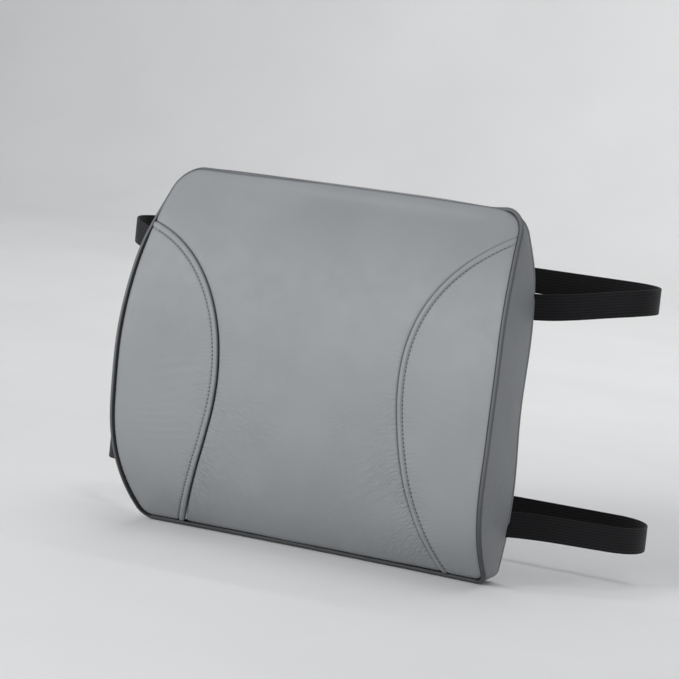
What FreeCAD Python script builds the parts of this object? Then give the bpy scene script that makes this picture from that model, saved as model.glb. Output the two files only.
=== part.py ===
"""Strap-on lumbar support cushion: a moulded foam core in a piped, zipped cover, with two
adjustable straps that go round a seat back and close with side-release buckles.

Millimetres. Origin at the centre of the flat back face, +X to the right seen from the
front, +Z up, and the front of the cushion faces -Y.
"""
import FreeCAD
import Part
import math
import os
from FreeCAD import Vector

os.makedirs("parts", exist_ok=True)

# ---- cushion outline, seen from the front ----
HEIGHT = 350.0
MIDDLE_WIDTH = 400.0
BOTTOM_NARROWING = 27.0      # bottom edge, less wide than the middle
TOP_NARROWING = 35.0         # top edge's corners, less wide than the middle
TOP_CROWN = 1.0              # how far the middle of the top edge stands above its corners
BOTTOM_CORNER_RADIUS = 10.0
TOP_CORNER_RADIUS = 20.0
LEAST_CORNER_RADIUS = 2.0    # of the layers inside

# ---- depth of the front face, measured at the side edges ----
BASE_DEPTH = 26.5
BELLY_DEPTH = 89.0
TOP_DEPTH = 18.0
BELLY_AT = 126.0             # height of the deepest point above the bottom edge
LOWER_POWER = 2.5            # how suddenly the face swells above the bottom edge
UPPER_POWER = 2.83           # how late it falls away towards the top edge
MIDDLE_HOLLOW = 9.5          # extra hollow of the face across its middle, at half height
BASE_HOLLOW = 5.0            # hollow of the face along the bottom edge
FACE_COLUMNS = 9             # points that the face's surface goes through
FACE_ROWS = 29
FACE_MARGIN = 10.0           # the surface runs on past the outline by this much

# ---- front seams: foot, two pulls and head of a cubic curve for each side, as distance from ----
# ---- the middle and height above the bottom edge. The two sides are not quite mirror images. ----
SEAM_FOOT = (141.5, 0.0)
LEFT_SEAM = (SEAM_FOOT, (59.0, 129.0), (79.0, 267.5), (MIDDLE_WIDTH / 2 - 6.0, 297.0))
RIGHT_SEAM = (SEAM_FOOT, (105.5, 128.5), (44.5, 258.0), (MIDDLE_WIDTH / 2 + 4.0, 338.5))

# ---- layers ----
COVER_THICKNESS = 1.6
BACK_PANEL_THICKNESS = 2.0
LINER_THICKNESS = 0.8
LAYER_GAP = 0.2
LINER_TO_ZIP = 0.4

# ---- piping ----
PIPING_DIAMETER = 5.0
PIPING_CORD_DIAMETER = 3.0
PIPING_FIT = 0.1             # radial, cord in its cover
PIPING_SEAT = PIPING_DIAMETER / 2 + 0.7        # front panel to outline, where the piping lies
PIPING_SEAT_DEPTH = PIPING_DIAMETER / 2 + 2.9  # gussets to front face, measured along the depth
PIPING_JOIN_GAP = 0.4        # between the two ends, at the middle of the bottom edge
PIPING_BOTTOM_STATIONS = (0.35, 0.7)           # shares of the bottom edge's half
PIPING_SIDE_STATIONS = (0.08, 0.15, 0.24, 0.34, 0.45, 0.57, 0.69, 0.79, 0.87, 0.93)  # of the height
PIPING_TOP_STATIONS = (0.66, 0.33)             # shares of the top edge's half
CORNER_CUT = 0.45            # of a corner's radius, cut off by the route
RUN_SHARE = 0.45             # of the shorter run, taken by the arc at its end

# ---- zip, along the bottom gusset ----
ZIP_END_MARGIN = 40.5        # bottom corner to the end of the teeth
ZIP_GAP = 6.0                # opening between the two gusset strips
TAPE_THICKNESS = 0.8
TAPE_WIDTH = 6.0             # of the front tape; the rear one runs to the back panel
TOOTH_PITCH = 3.0
TOOTH_WIDTH = 1.2            # along the zip
TOOTH_LENGTH = 3.2           # across the zip
TOOTH_THICKNESS = 1.8
TOOTH_MESH = 1.2             # how far facing teeth pass each other
TAPE_GAP = 0.1               # between a tape's edge and its teeth
SLIDER_LENGTH = 8.0
SLIDER_PLATE = 1.2
SLIDER_CLEARANCE = 0.3
SLIDER_POST_LENGTH = 2.0
SLIDER_POST_WIDTH = 1.6
SLIDER_OVERHANG = 1.0        # inner plate beyond the outer one, each side
ZIP_STOP_LENGTH = 2.0
ZIP_STOP_GAP = 2.0           # between an end stop's middle and the slider at its end
PULL_LENGTH = 20.0
PULL_WIDTH = 4.5
PULL_THICKNESS = 1.2
PULL_PIN_RADIUS = 0.55
PULL_PIN_FIT = 0.1
PULL_EYE_RADIUS = 1.25
PULL_EAR_THICKNESS = 0.8
PULL_EAR_RADIUS = 1.0
PULL_NECK_LENGTH = 3.0       # from the pin to the full width of the blade
PULL_NECK_OVERLAP = 0.8

# ---- straps ----
WEBBING_WIDTH = 25.0
WEBBING_THICKNESS = 1.4
STRAP_ROOT_DEPTH = 4.5       # strap centre to back face, where it leaves the seam
STRAP_TAIL = 3.0             # sewn in behind the gusset
STRAP_SWEEP = 35.0           # degrees that a strap turns back from the cushion's side
STRAP_BEND_RADIUS = 45.0     # round the edge of the seat back
SOCKET_SEWN_LENGTH = 32.0    # turned back and sewn, from the socket's bar
LOOP_SEWN_LENGTH = 7.0       # turned back and sewn, from the adjuster's centre bar
LOOP_STEP_START = 12.0       # from the plug's bar: the returning layer steps over to the adjuster
LOOP_STEP_END = 24.0
STRAPS = {
    # name: height above the bottom edge, side run, rise along the side run
    "upper": (262.0, 85.0, 13.0),
    "lower": (54.5, 100.0, -9.0),
}

# ---- adjuster on each strap ----
ADJUSTER_AT = -95.0
ADJUSTER_LENGTH = 26.0
ADJUSTER_CHEEK = 3.4         # each end of the frame, beyond the webbing's slot
ADJUSTER_BAR = 4.0           # width of each end bar
ADJUSTER_THICKNESS = 2.2
WEBBING_CLEARANCE = 0.3      # hardware to webbing
CENTRE_BAR_RADIUS = 1.2
ADJUSTER_CORNER_RADIUS = 2.5
ADJUSTER_POST = 8.0          # width of the posts that carry the centre bar

# ---- side-release buckle on each strap ----
RAIL_THICKNESS = 3.2         # beside the webbing, at each strap bar
RAIL_GAP = 1.3               # rail to webbing edge
BUCKLE_THICKNESS = 9.2
SOCKET_LENGTH = 26.0
SOCKET_WALL = 2.6            # side walls, with the windows
SOCKET_SKIN = 2.0            # front and back walls
SOCKET_END_WALL = 2.0
SOCKET_EDGE_RADIUS = 1.6
RAIL_DEPTH = 4.8
RAIL_END = 0.7               # rail beyond the bar it carries
JOIN_OVERLAP = 0.5           # one solid of a moulding into the next
BAR_END_INSET = 1.0          # ends of a bar, inside the frame that carries it
STRAP_BAR_RADIUS = 1.3
STRAP_BAR_AT = 24.0          # from the buckle's middle
BUCKLE_CLEARANCE = 0.3
PLUG_STEP_IN = 0.6           # plug's faces to socket's faces
PLUG_SIDE_STEP_IN = 0.5      # plug's edges to socket's edges
PLUG_EDGE_RADIUS = 1.4
PLUG_WEBBING_ROOM = 0.6      # webbing round the plug's bar to the plug's body
POCKET_INNER_ROOM = 1.3      # for the arm to swing inwards
POCKET_OUTER_ROOM = 0.6
THUMB_INSET = 1.0            # scallop beside each window, inside the prong head's ends
PRONG_PIVOT = 17.0           # from the buckle's middle
PRONG_INSET = 6.7            # arm centre line to the buckle's edge
PRONG_ARM = 2.6
PRONG_HEAD_LENGTH = 10.0
PRONG_HEAD_START = -2.0
PRONG_HEAD_INSET = 0.4       # head's flat to the buckle's edge
PRONG_THICKNESS = 4.4
PRONG_NOSE = 3.0             # length of the head's slanted tip
PRONG_HEAD_OVERLAP = 1.0
TONGUE_WIDTH = 5.6
TONGUE_THICKNESS = 3.6
TONGUE_TIP = 9.0

# ---- sizes that follow from those above ----
BOTTOM_WIDTH = MIDDLE_WIDTH - BOTTOM_NARROWING
TOP_WIDTH = MIDDLE_WIDTH - TOP_NARROWING
FAR = 2 * MIDDLE_WIDTH       # beyond every solid, for cutting
BOTTOM = -HEIGHT / 2
TOP = HEIGHT / 2
BUCKLE_HEIGHT = WEBBING_WIDTH + 2 * (RAIL_GAP + RAIL_THICKNESS)
ADJUSTER_SLOT = WEBBING_WIDTH + 4 * WEBBING_CLEARANCE
ADJUSTER_HEIGHT = ADJUSTER_SLOT + 2 * ADJUSTER_CHEEK
STRAP_BAR_TURN = STRAP_BAR_RADIUS + BUCKLE_CLEARANCE + WEBBING_THICKNESS / 2
CENTRE_BAR_TURN = CENTRE_BAR_RADIUS + WEBBING_CLEARANCE + WEBBING_THICKNESS / 2
PRONG_OFFSET = BUCKLE_HEIGHT / 2 - PRONG_INSET
PRONG_HEAD_TOP = BUCKLE_HEIGHT / 2 - PRONG_HEAD_INSET
ZIP_LENGTH = BOTTOM_WIDTH - 2 * ZIP_END_MARGIN
ZIP_DEPTH = (BACK_PANEL_THICKNESS + BASE_DEPTH - BASE_HOLLOW - PIPING_SEAT_DEPTH) / 2
ZIP_Y = -ZIP_DEPTH
TAPE_Z = BOTTOM + COVER_THICKNESS + LAYER_GAP
TOOTH_Z = TAPE_Z + TAPE_THICKNESS / 2
SLIDER_TOP = TOOTH_Z + TOOTH_THICKNESS / 2 + SLIDER_CLEARANCE + SLIDER_PLATE
LINER_INSET = SLIDER_TOP + LINER_TO_ZIP - BOTTOM


# ---------------------------------------------------------------- helpers
def box(x0, x1, y0, y1, z0, z1):
    return Part.makeBox(x1 - x0, y1 - y0, z1 - z0, Vector(x0, y0, z0))


def rod(radius, start, along, length):
    return Part.makeCylinder(radius, length, Vector(*start), Vector(*along))


def fused(solids):
    whole = solids[0]
    for solid in solids[1:]:
        whole = whole.fuse(solid)
    return whole.removeSplitter()


def mirrored(solid, normal):
    return solid.mirror(Vector(0, 0, 0), Vector(*normal))


def save(name, shape):
    shape.exportStep("parts/" + name + ".step")
    print("%-28s %9.0f mm3  solids %d  valid %s"
          % (name, shape.Volume, len(shape.Solids), shape.isValid()))


# ---------------------------------------------------------------- cushion master shapes
def side_arc():
    """The circle that the right side edge follows."""
    low = Vector(BOTTOM_WIDTH / 2, 0, BOTTOM)
    middle = Vector(MIDDLE_WIDTH / 2, 0, 0)
    high = Vector(TOP_WIDTH / 2, 0, TOP)
    return Part.Arc(low, middle, high).toShape().Curve


def half_width(z):
    circle = side_arc()
    centre = circle.Center
    return centre.x + math.sqrt(circle.Radius ** 2 - (z - centre.z) ** 2)


def outline_prism(inset, y_front, y_rear):
    """The cushion's front-view outline, moved in by inset and run from y_front to y_rear."""
    low = BOTTOM + inset
    high = TOP - inset
    right_low = Vector(BOTTOM_WIDTH / 2 - inset, y_front, low)
    right_mid = Vector(MIDDLE_WIDTH / 2 - inset, y_front, 0)
    right_high = Vector(TOP_WIDTH / 2 - inset, y_front, high)
    top_mid = Vector(0, y_front, high + TOP_CROWN)
    left_low, left_mid, left_high = (Vector(-p.x, p.y, p.z) for p in (right_low, right_mid, right_high))
    edges = [
        Part.makeLine(left_low, right_low),
        Part.Arc(right_low, right_mid, right_high).toShape(),
        Part.Arc(right_high, top_mid, left_high).toShape(),
        Part.Arc(left_high, left_mid, left_low).toShape(),
    ]
    prism = Part.Face(Part.Wire(edges)).extrude(Vector(0, y_rear - y_front, 0))
    for z, radius in ((low, BOTTOM_CORNER_RADIUS), (high, TOP_CORNER_RADIUS)):
        corners = [e for e in prism.Edges
                   if len(e.Vertexes) == 2 and all(abs(v.Z - z) < 0.01 for v in e.Vertexes)
                   and abs(e.Vertexes[0].Y - e.Vertexes[1].Y) > 1]
        prism = prism.makeFillet(max(radius - inset, LEAST_CORNER_RADIUS), corners)
    return prism


def face_depth(x, z):
    """Depth of the front face at a point of the outline's plane."""
    height = z - BOTTOM
    if height <= BELLY_AT:
        share = 1 - height / BELLY_AT
        depth = BELLY_DEPTH - (BELLY_DEPTH - BASE_DEPTH) * share ** LOWER_POWER
    else:
        share = (height - BELLY_AT) / (HEIGHT - BELLY_AT)
        depth = BELLY_DEPTH - (BELLY_DEPTH - TOP_DEPTH) * share ** UPPER_POWER
    along = height / HEIGHT
    hollow = BASE_HOLLOW * (1 - along) + MIDDLE_HOLLOW * 4 * along * (1 - along)
    return depth - hollow * (1 - (2 * x / MIDDLE_WIDTH) ** 2)


def front_surface():
    reach_x = MIDDLE_WIDTH / 2 + FACE_MARGIN
    reach_z = HEIGHT / 2 + FACE_MARGIN
    grid = []
    for i in range(FACE_COLUMNS):
        x = reach_x * (2 * i / (FACE_COLUMNS - 1) - 1)
        row = []
        for j in range(FACE_ROWS):
            z = reach_z * (2 * j / (FACE_ROWS - 1) - 1)
            row.append(Vector(x, -face_depth(x, z), z))
        grid.append(row)
    surface = Part.BSplineSurface()
    surface.interpolate(grid)
    return surface.toShape()


FRONT = front_surface()


def behind_front(offset, thickness=FAR):
    """What lies from offset to offset + thickness behind the front face."""
    sheet = FRONT.copy()
    sheet.translate(Vector(0, offset, 0))
    return sheet.extrude(Vector(0, thickness, 0))


def layer(inset, offset, back):
    """A solid inside the cushion: inset from its outline, offset behind its face, up to y = -back."""
    return outline_prism(inset, -FAR / 2, -back).common(behind_front(offset))


# ---------------------------------------------------------------- cover
def seam_region(side, poles):
    """Everything outboard of one front seam, as a prism through the whole depth."""
    points = [Vector(side * x, -FAR / 2, BOTTOM + z) for x, z in poles]
    curve = Part.BezierCurve()
    curve.setPoles(points)
    foot, head = points[0], points[-1]
    below = Vector(foot.x, foot.y, -FAR)
    low_corner = Vector(side * FAR, foot.y, -FAR)
    high_corner = Vector(side * FAR, foot.y, head.z)
    edges = [curve.toShape(), Part.makeLine(head, high_corner), Part.makeLine(high_corner, low_corner),
             Part.makeLine(low_corner, below), Part.makeLine(below, foot)]
    return Part.Face(Part.Wire(edges)).extrude(Vector(0, FAR, 0))


def make_front_panels():
    skin = outline_prism(PIPING_SEAT, -FAR / 2, 0).common(behind_front(0, COVER_THICKNESS))
    left = seam_region(-1, LEFT_SEAM)
    right = seam_region(1, RIGHT_SEAM)
    save("front_left_panel", skin.common(left))
    save("front_right_panel", skin.common(right))
    save("front_centre_panel", skin.cut(left).cut(right))


def make_gussets(straps):
    outer = outline_prism(0, -FAR / 2, -BACK_PANEL_THICKNESS)
    inner = outline_prism(COVER_THICKNESS, -FAR / 2, 0)
    ring = outer.cut(inner).common(behind_front(PIPING_SEAT_DEPTH))
    for strap in straps:
        ring = ring.cut(strap)
    top_half = TOP_WIDTH / 2 - TOP_CORNER_RADIUS
    base_half = BOTTOM_WIDTH / 2 - BOTTOM_CORNER_RADIUS
    top_block = box(-top_half, top_half, -FAR, 0, 0, FAR)
    base_block = box(-base_half, base_half, -FAR, 0, -FAR, 0)
    save("top_gusset", ring.common(top_block))
    save("side_gusset_right", ring.cut(top_block).cut(base_block).common(box(0, FAR, -FAR, 0, -FAR, FAR)))
    save("side_gusset_left", ring.cut(top_block).cut(base_block).common(box(-FAR, 0, -FAR, 0, -FAR, FAR)))
    base = ring.common(base_block)
    front_edge = ZIP_Y - ZIP_GAP / 2
    rear_edge = ZIP_Y + ZIP_GAP / 2
    save("bottom_gusset_front", base.common(box(-FAR, FAR, -FAR, front_edge, -FAR, FAR)))
    save("bottom_gusset_rear", base.common(box(-FAR, FAR, rear_edge, FAR, -FAR, FAR)))


def make_back_panel():
    save("back_panel", outline_prism(0, -BACK_PANEL_THICKNESS, 0))


def make_filling():
    back = BACK_PANEL_THICKNESS + LAYER_GAP
    face = COVER_THICKNESS + LAYER_GAP
    whole = layer(LINER_INSET, face, back)
    front_part = whole.common(box(-FAR, FAR, -FAR, -back - LINER_THICKNESS, -FAR, FAR))
    hollow = layer(LINER_INSET + LINER_THICKNESS, face + LINER_THICKNESS, back)
    save("foam_liner_front", front_part.cut(hollow))
    save("foam_liner_back", whole.common(box(-FAR, FAR, -back - LINER_THICKNESS, 0, -FAR, FAR)))
    core_back = back + LINER_THICKNESS + LAYER_GAP
    core_inset = LINER_INSET + LINER_THICKNESS + LAYER_GAP
    save("foam_core", layer(core_inset, face + LINER_THICKNESS + LAYER_GAP, core_back))


# ---------------------------------------------------------------- piping
def piping_route():
    """Corners of the piping's route round the front edge, from one end to the other."""
    def at(x, z):
        return Vector(x, -face_depth(x, z), z)

    right = [at(PIPING_JOIN_GAP / 2, BOTTOM)]
    for share in PIPING_BOTTOM_STATIONS:
        right.append(at(share * BOTTOM_WIDTH / 2, BOTTOM))
    corner = CORNER_CUT * BOTTOM_CORNER_RADIUS
    right.append(at(BOTTOM_WIDTH / 2 - corner, BOTTOM))
    right.append(at(half_width(BOTTOM + corner), BOTTOM + corner))
    for share in PIPING_SIDE_STATIONS:
        z = BOTTOM + share * HEIGHT
        right.append(at(half_width(z), z))
    corner = CORNER_CUT * TOP_CORNER_RADIUS
    right.append(at(half_width(TOP - corner), TOP - corner))
    right.append(at(TOP_WIDTH / 2 - corner, TOP))
    for share in PIPING_TOP_STATIONS:
        right.append(at(share * TOP_WIDTH / 2, TOP + TOP_CROWN * (1 - share ** 2)))
    middle = at(0, TOP + TOP_CROWN)
    left = [Vector(-p.x, p.y, p.z) for p in reversed(right)]
    return right + [middle] + left


def rounded_wire(points):
    """Straight runs joined by tangent arcs, each as large as its two runs allow."""
    edges = []
    last = points[0]
    for before, corner, after in zip(points, points[1:], points[2:]):
        back = before - corner
        ahead = after - corner
        cut = RUN_SHARE * min(back.Length, ahead.Length)
        start = corner + back.normalize() * cut
        end = corner + ahead.normalize() * cut
        half_turn = back.getAngle(ahead) / 2
        chord_middle = (start + end) * 0.5
        inward = chord_middle - corner
        to_centre = cut / math.cos(half_turn)
        radius = cut * math.tan(half_turn)
        middle = corner + inward.normalize() * (to_centre - radius)
        edges.append(Part.makeLine(last, start))
        edges.append(Part.Arc(start, middle, end).toShape())
        last = end
    edges.append(Part.makeLine(last, points[-1]))
    return Part.Wire(edges)


def swept(wire, radius):
    start = wire.Edges[0].Vertexes[0].Point
    heading = wire.Edges[0].Vertexes[1].Point - start
    profile = Part.Wire([Part.makeCircle(radius, start, heading)])
    return wire.makePipeShell([profile], True, False)


def make_piping():
    wire = rounded_wire(piping_route())
    inner = PIPING_CORD_DIAMETER / 2 + PIPING_FIT
    cover = swept(wire, PIPING_DIAMETER / 2).cut(swept(wire, inner))
    save("front_piping_cover", cover)
    save("front_piping_cord", swept(wire, PIPING_CORD_DIAMETER / 2))
    print("piping length %.0f mm" % wire.Length)


# ---------------------------------------------------------------- zip
def make_zip_tapes():
    inner_edge = TOOTH_LENGTH - TOOTH_MESH / 2 + TAPE_GAP
    half = ZIP_LENGTH / 2
    top = TAPE_Z + TAPE_THICKNESS
    front = ZIP_Y - inner_edge
    save("zip_tape_front", box(-half, half, front - TAPE_WIDTH, front, TAPE_Z, top))
    back_edge = -BACK_PANEL_THICKNESS - LAYER_GAP
    save("zip_tape_rear", box(-half, half, ZIP_Y + inner_edge, back_edge, TAPE_Z, top))


def make_zip_teeth():
    count = int(ZIP_LENGTH / TOOTH_PITCH)
    for name, side, shift in (("zip_teeth_front", -1, 0.0), ("zip_teeth_rear", 1, TOOTH_PITCH / 2)):
        tip = ZIP_Y - side * TOOTH_MESH / 2
        root = tip + side * TOOTH_LENGTH
        teeth = []
        for i in range(count):
            x = -ZIP_LENGTH / 2 + i * TOOTH_PITCH + shift
            teeth.append(box(x, x + TOOTH_WIDTH, min(tip, root), max(tip, root),
                             TOOTH_Z - TOOTH_THICKNESS / 2, TOOTH_Z + TOOTH_THICKNESS / 2))
        save(name, Part.makeCompound(teeth))


def make_zip_stops():
    half_long = ZIP_STOP_LENGTH / 2
    half_wide = TOOTH_LENGTH / 2
    half_thick = TOOTH_THICKNESS / 2
    reach = ZIP_LENGTH / 2 + SLIDER_LENGTH + ZIP_STOP_GAP
    ends = []
    for x in (-reach, reach):
        ends.append(box(x - half_long, x + half_long, ZIP_Y - half_wide, ZIP_Y + half_wide,
                        TOOTH_Z - half_thick, TOOTH_Z + half_thick))
    save("zip_stops", Part.makeCompound(ends))


def make_zip_slider():
    """Outer and inner plates joined by the post that parts the teeth, with two ears for the pull."""
    start = -ZIP_LENGTH / 2 - SLIDER_LENGTH / 2
    end = start + SLIDER_LENGTH
    outer_top = TOOTH_Z - TOOTH_THICKNESS / 2 - SLIDER_CLEARANCE
    inner_low = TOOTH_Z + TOOTH_THICKNESS / 2 + SLIDER_CLEARANCE
    outer_half = ZIP_GAP / 2 - SLIDER_CLEARANCE
    inner_half = outer_half + SLIDER_OVERHANG
    post_half = SLIDER_POST_WIDTH / 2
    outer = box(start, end, ZIP_Y - outer_half, ZIP_Y + outer_half, outer_top - SLIDER_PLATE, outer_top)
    inner = box(start, end, ZIP_Y - inner_half, ZIP_Y + inner_half, inner_low, inner_low + SLIDER_PLATE)
    post = box(start, start + SLIDER_POST_LENGTH, ZIP_Y - post_half, ZIP_Y + post_half,
               outer_top, inner_low)
    pin_x = (start + end) / 2
    pin_z = outer_top - SLIDER_PLATE - PULL_EYE_RADIUS - SLIDER_CLEARANCE
    ear_inner = PULL_WIDTH / 2 - PULL_EAR_THICKNESS
    parts = [outer, inner, post]
    for side in (-1, 1):
        near = ZIP_Y + side * ear_inner
        far = near + side * PULL_EAR_THICKNESS
        low, high = min(near, far), max(near, far)
        parts.append(box(pin_x - PULL_EAR_RADIUS, pin_x + PULL_EAR_RADIUS, low, high,
                         pin_z, outer_top - SLIDER_PLATE))
        parts.append(rod(PULL_EAR_RADIUS, (pin_x, low, pin_z), (0, 1, 0), PULL_EAR_THICKNESS))
    parts.append(rod(PULL_PIN_RADIUS, (pin_x, ZIP_Y - PULL_WIDTH / 2, pin_z), (0, 1, 0), PULL_WIDTH))
    save("zip_slider", fused(parts))

    eye_half = ear_inner - SLIDER_CLEARANCE
    eye = rod(PULL_EYE_RADIUS, (pin_x, ZIP_Y - eye_half, pin_z), (0, 1, 0), 2 * eye_half)
    low, high = pin_z - PULL_THICKNESS / 2, pin_z + PULL_THICKNESS / 2
    neck_end = pin_x + PULL_NECK_LENGTH
    neck = box(pin_x, neck_end, ZIP_Y - eye_half, ZIP_Y + eye_half, low, high)
    blade = box(neck_end - PULL_NECK_OVERLAP, pin_x + PULL_LENGTH,
                ZIP_Y - PULL_WIDTH / 2, ZIP_Y + PULL_WIDTH / 2, low, high)
    hole = rod(PULL_PIN_RADIUS + PULL_PIN_FIT, (pin_x, ZIP_Y - PULL_WIDTH, pin_z), (0, 1, 0), 2 * PULL_WIDTH)
    save("zip_pull", fused([eye, neck, blade]).cut(hole))
    print("zip pull axis x %.2f y %.2f z %.2f" % (pin_x, ZIP_Y, pin_z))


# ---------------------------------------------------------------- straps
def band_box(x0, x1, y, z):
    """A straight run of webbing along X, centred on y and z."""
    half = WEBBING_THICKNESS / 2
    return box(x0, x1, y - half, y + half, z - WEBBING_WIDTH / 2, z + WEBBING_WIDTH / 2)


def band_arc(centre_x, centre_y, radius, start, turn, z):
    """Webbing round a vertical axis: start and turn in degrees, radius to its middle."""
    half = WEBBING_THICKNESS / 2
    base = Vector(centre_x, centre_y, z - WEBBING_WIDTH / 2)
    up = Vector(0, 0, 1)
    outer = Part.makeCylinder(radius + half, WEBBING_WIDTH, base, up, turn)
    inner = Part.makeCylinder(radius - half, WEBBING_WIDTH, base, up)
    ring = outer.cut(inner)
    ring.rotate(Vector(centre_x, centre_y, 0), Vector(0, 0, 1), start)
    return ring


class StrapRoute:
    """Where one strap's right half runs: out of the seam, back, and round the seat's edge."""

    def __init__(self, height, side_run, rise):
        angle = math.radians(STRAP_SWEEP)
        self.root_z = BOTTOM + height
        self.rear_z = self.root_z + rise
        self.root_x = half_width(self.root_z)
        self.root_y = -STRAP_ROOT_DEPTH
        self.turn_x = self.root_x + side_run * math.cos(angle)
        self.turn_y = self.root_y + side_run * math.sin(angle)
        self.centre_x = self.turn_x - STRAP_BEND_RADIUS * math.sin(angle)
        self.centre_y = self.turn_y + STRAP_BEND_RADIUS * math.cos(angle)
        self.rear_y = self.centre_y + STRAP_BEND_RADIUS
        self.length_to_rear = side_run + STRAP_BEND_RADIUS * math.radians(180 - STRAP_SWEEP)

    def side_run(self):
        """The sloping run from inside the seam to the bend, as a thin upright slab."""
        angle = math.radians(STRAP_SWEEP)
        out = Vector(math.cos(angle), math.sin(angle), 0)
        normal = Vector(-math.sin(angle), math.cos(angle), 0)
        tail = Vector(self.root_x, self.root_y, self.root_z) - out * STRAP_TAIL
        root = Vector(self.root_x, self.root_y, self.root_z)
        turn = Vector(self.turn_x, self.turn_y, self.rear_z)
        up = Vector(0, 0, WEBBING_WIDTH / 2)
        shift = normal * (-WEBBING_THICKNESS / 2)
        corners = [tail - up, root - up, turn - up, turn + up, root + up, tail + up]
        corners = [c + shift for c in corners]
        face = Part.Face(Part.makePolygon(corners + corners[:1]))
        return face.extrude(normal * WEBBING_THICKNESS)

    def bend(self):
        start = STRAP_SWEEP - 90
        turn = 180 - STRAP_SWEEP
        return band_arc(self.centre_x, self.centre_y, STRAP_BEND_RADIUS, start, turn, self.rear_z)


def make_half_strap(route, end_x):
    """One half seen on the right: side run, bend, and the rear run up to x = end_x."""
    rear = band_box(end_x, route.centre_x, route.rear_y, route.rear_z)
    return fused([route.side_run(), route.bend(), rear])


def socket_strap(route):
    """Right half: its end goes round the socket's bar and is sewn back on itself."""
    half = make_half_strap(route, STRAP_BAR_AT)
    loop = band_arc(STRAP_BAR_AT, route.rear_y - STRAP_BAR_TURN, STRAP_BAR_TURN, 90, 180, route.rear_z)
    sewn = band_box(STRAP_BAR_AT, STRAP_BAR_AT + SOCKET_SEWN_LENGTH,
                    route.rear_y - 2 * STRAP_BAR_TURN, route.rear_z)
    return fused([half, loop, sewn])


def centre_bar_y(route):
    """Y of the adjuster's centre bar, behind the strap's main layer and the layer sewn round it."""
    return route.rear_y - WEBBING_THICKNESS - WEBBING_CLEARANCE - CENTRE_BAR_TURN


def make_strap_loop(route):
    """The doubled end between the plug and the adjuster, round both bars."""
    turn_y = route.rear_y - STRAP_BAR_TURN
    centre = centre_bar_y(route)
    main = band_box(ADJUSTER_AT + ADJUSTER_LENGTH, -STRAP_BAR_AT, route.rear_y, route.rear_z)
    plug_turn = band_arc(-STRAP_BAR_AT, turn_y, STRAP_BAR_TURN, -90, 180, route.rear_z)
    near_y = turn_y - STRAP_BAR_TURN
    far_y = centre - CENTRE_BAR_TURN
    step_x0 = -STRAP_BAR_AT - LOOP_STEP_START
    step_x1 = -STRAP_BAR_AT - LOOP_STEP_END
    back_near = band_box(step_x0, -STRAP_BAR_AT, near_y, route.rear_z)
    back_far = band_box(ADJUSTER_AT, step_x1, far_y, route.rear_z)
    half = WEBBING_THICKNESS / 2
    low = route.rear_z - WEBBING_WIDTH / 2
    corners = [Vector(step_x0, near_y - half, low), Vector(step_x0, near_y + half, low),
               Vector(step_x1, far_y + half, low), Vector(step_x1, far_y - half, low)]
    step = Part.Face(Part.makePolygon(corners + corners[:1])).extrude(Vector(0, 0, WEBBING_WIDTH))
    bar_turn = band_arc(ADJUSTER_AT, centre, CENTRE_BAR_TURN, 90, 180, route.rear_z)
    sewn = band_box(ADJUSTER_AT, ADJUSTER_AT + LOOP_SEWN_LENGTH, centre + CENTRE_BAR_TURN, route.rear_z)
    return fused([main, plug_turn, back_near, step, back_far, bar_turn, sewn])


def make_adjuster(route):
    """Three-bar adjuster: two end bars outside the webbing, a round centre bar inside it."""
    bars = route.rear_y + WEBBING_THICKNESS / 2 + WEBBING_CLEARANCE
    centre = centre_bar_y(route)
    half = ADJUSTER_LENGTH / 2
    high = ADJUSTER_HEIGHT / 2
    slot = ADJUSTER_SLOT / 2
    outer = bars + ADJUSTER_THICKNESS
    frame = box(ADJUSTER_AT - half, ADJUSTER_AT + half, bars, outer, -high, high)
    frame = frame.cut(box(ADJUSTER_AT - half + ADJUSTER_BAR, ADJUSTER_AT + half - ADJUSTER_BAR,
                          bars - 1, outer + 1, -slot, slot))
    corners = [e for e in frame.Edges
               if abs(abs(e.CenterOfMass.z) - high) < 0.01
               and abs(abs(e.CenterOfMass.x - ADJUSTER_AT) - half) < 0.01]
    frame = frame.makeFillet(ADJUSTER_CORNER_RADIUS, corners)
    parts = [frame]
    for side in (-1, 1):
        low, top = sorted((side * slot, side * high))
        parts.append(box(ADJUSTER_AT - ADJUSTER_POST / 2, ADJUSTER_AT + ADJUSTER_POST / 2,
                         centre - CENTRE_BAR_RADIUS, bars, low, top))
    reach = high - BAR_END_INSET
    parts.append(rod(CENTRE_BAR_RADIUS, (ADJUSTER_AT, centre, -reach), (0, 0, 1), 2 * reach))
    whole = fused(parts)
    whole.translate(Vector(0, 0, route.rear_z))
    return whole


# ---------------------------------------------------------------- buckle
def long_edges(body):
    """The edges that run along X."""
    return [e for e in body.Edges if len(e.Vertexes) == 2
            and abs(e.Vertexes[0].X - e.Vertexes[1].X) > 1]


def rail(x0, x1, side, far):
    """One of the two rails that carry a strap bar, from the moulding's edge inwards."""
    low, high = sorted((side * (BUCKLE_HEIGHT / 2 - RAIL_THICKNESS), side * far))
    return box(x0, x1, -RAIL_DEPTH / 2, RAIL_DEPTH / 2, low, high)


def strap_bar(x):
    reach = BUCKLE_HEIGHT / 2 - BAR_END_INSET
    return rod(STRAP_BAR_RADIUS, (x, 0, -reach), (0, 0, 1), 2 * reach)


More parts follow.
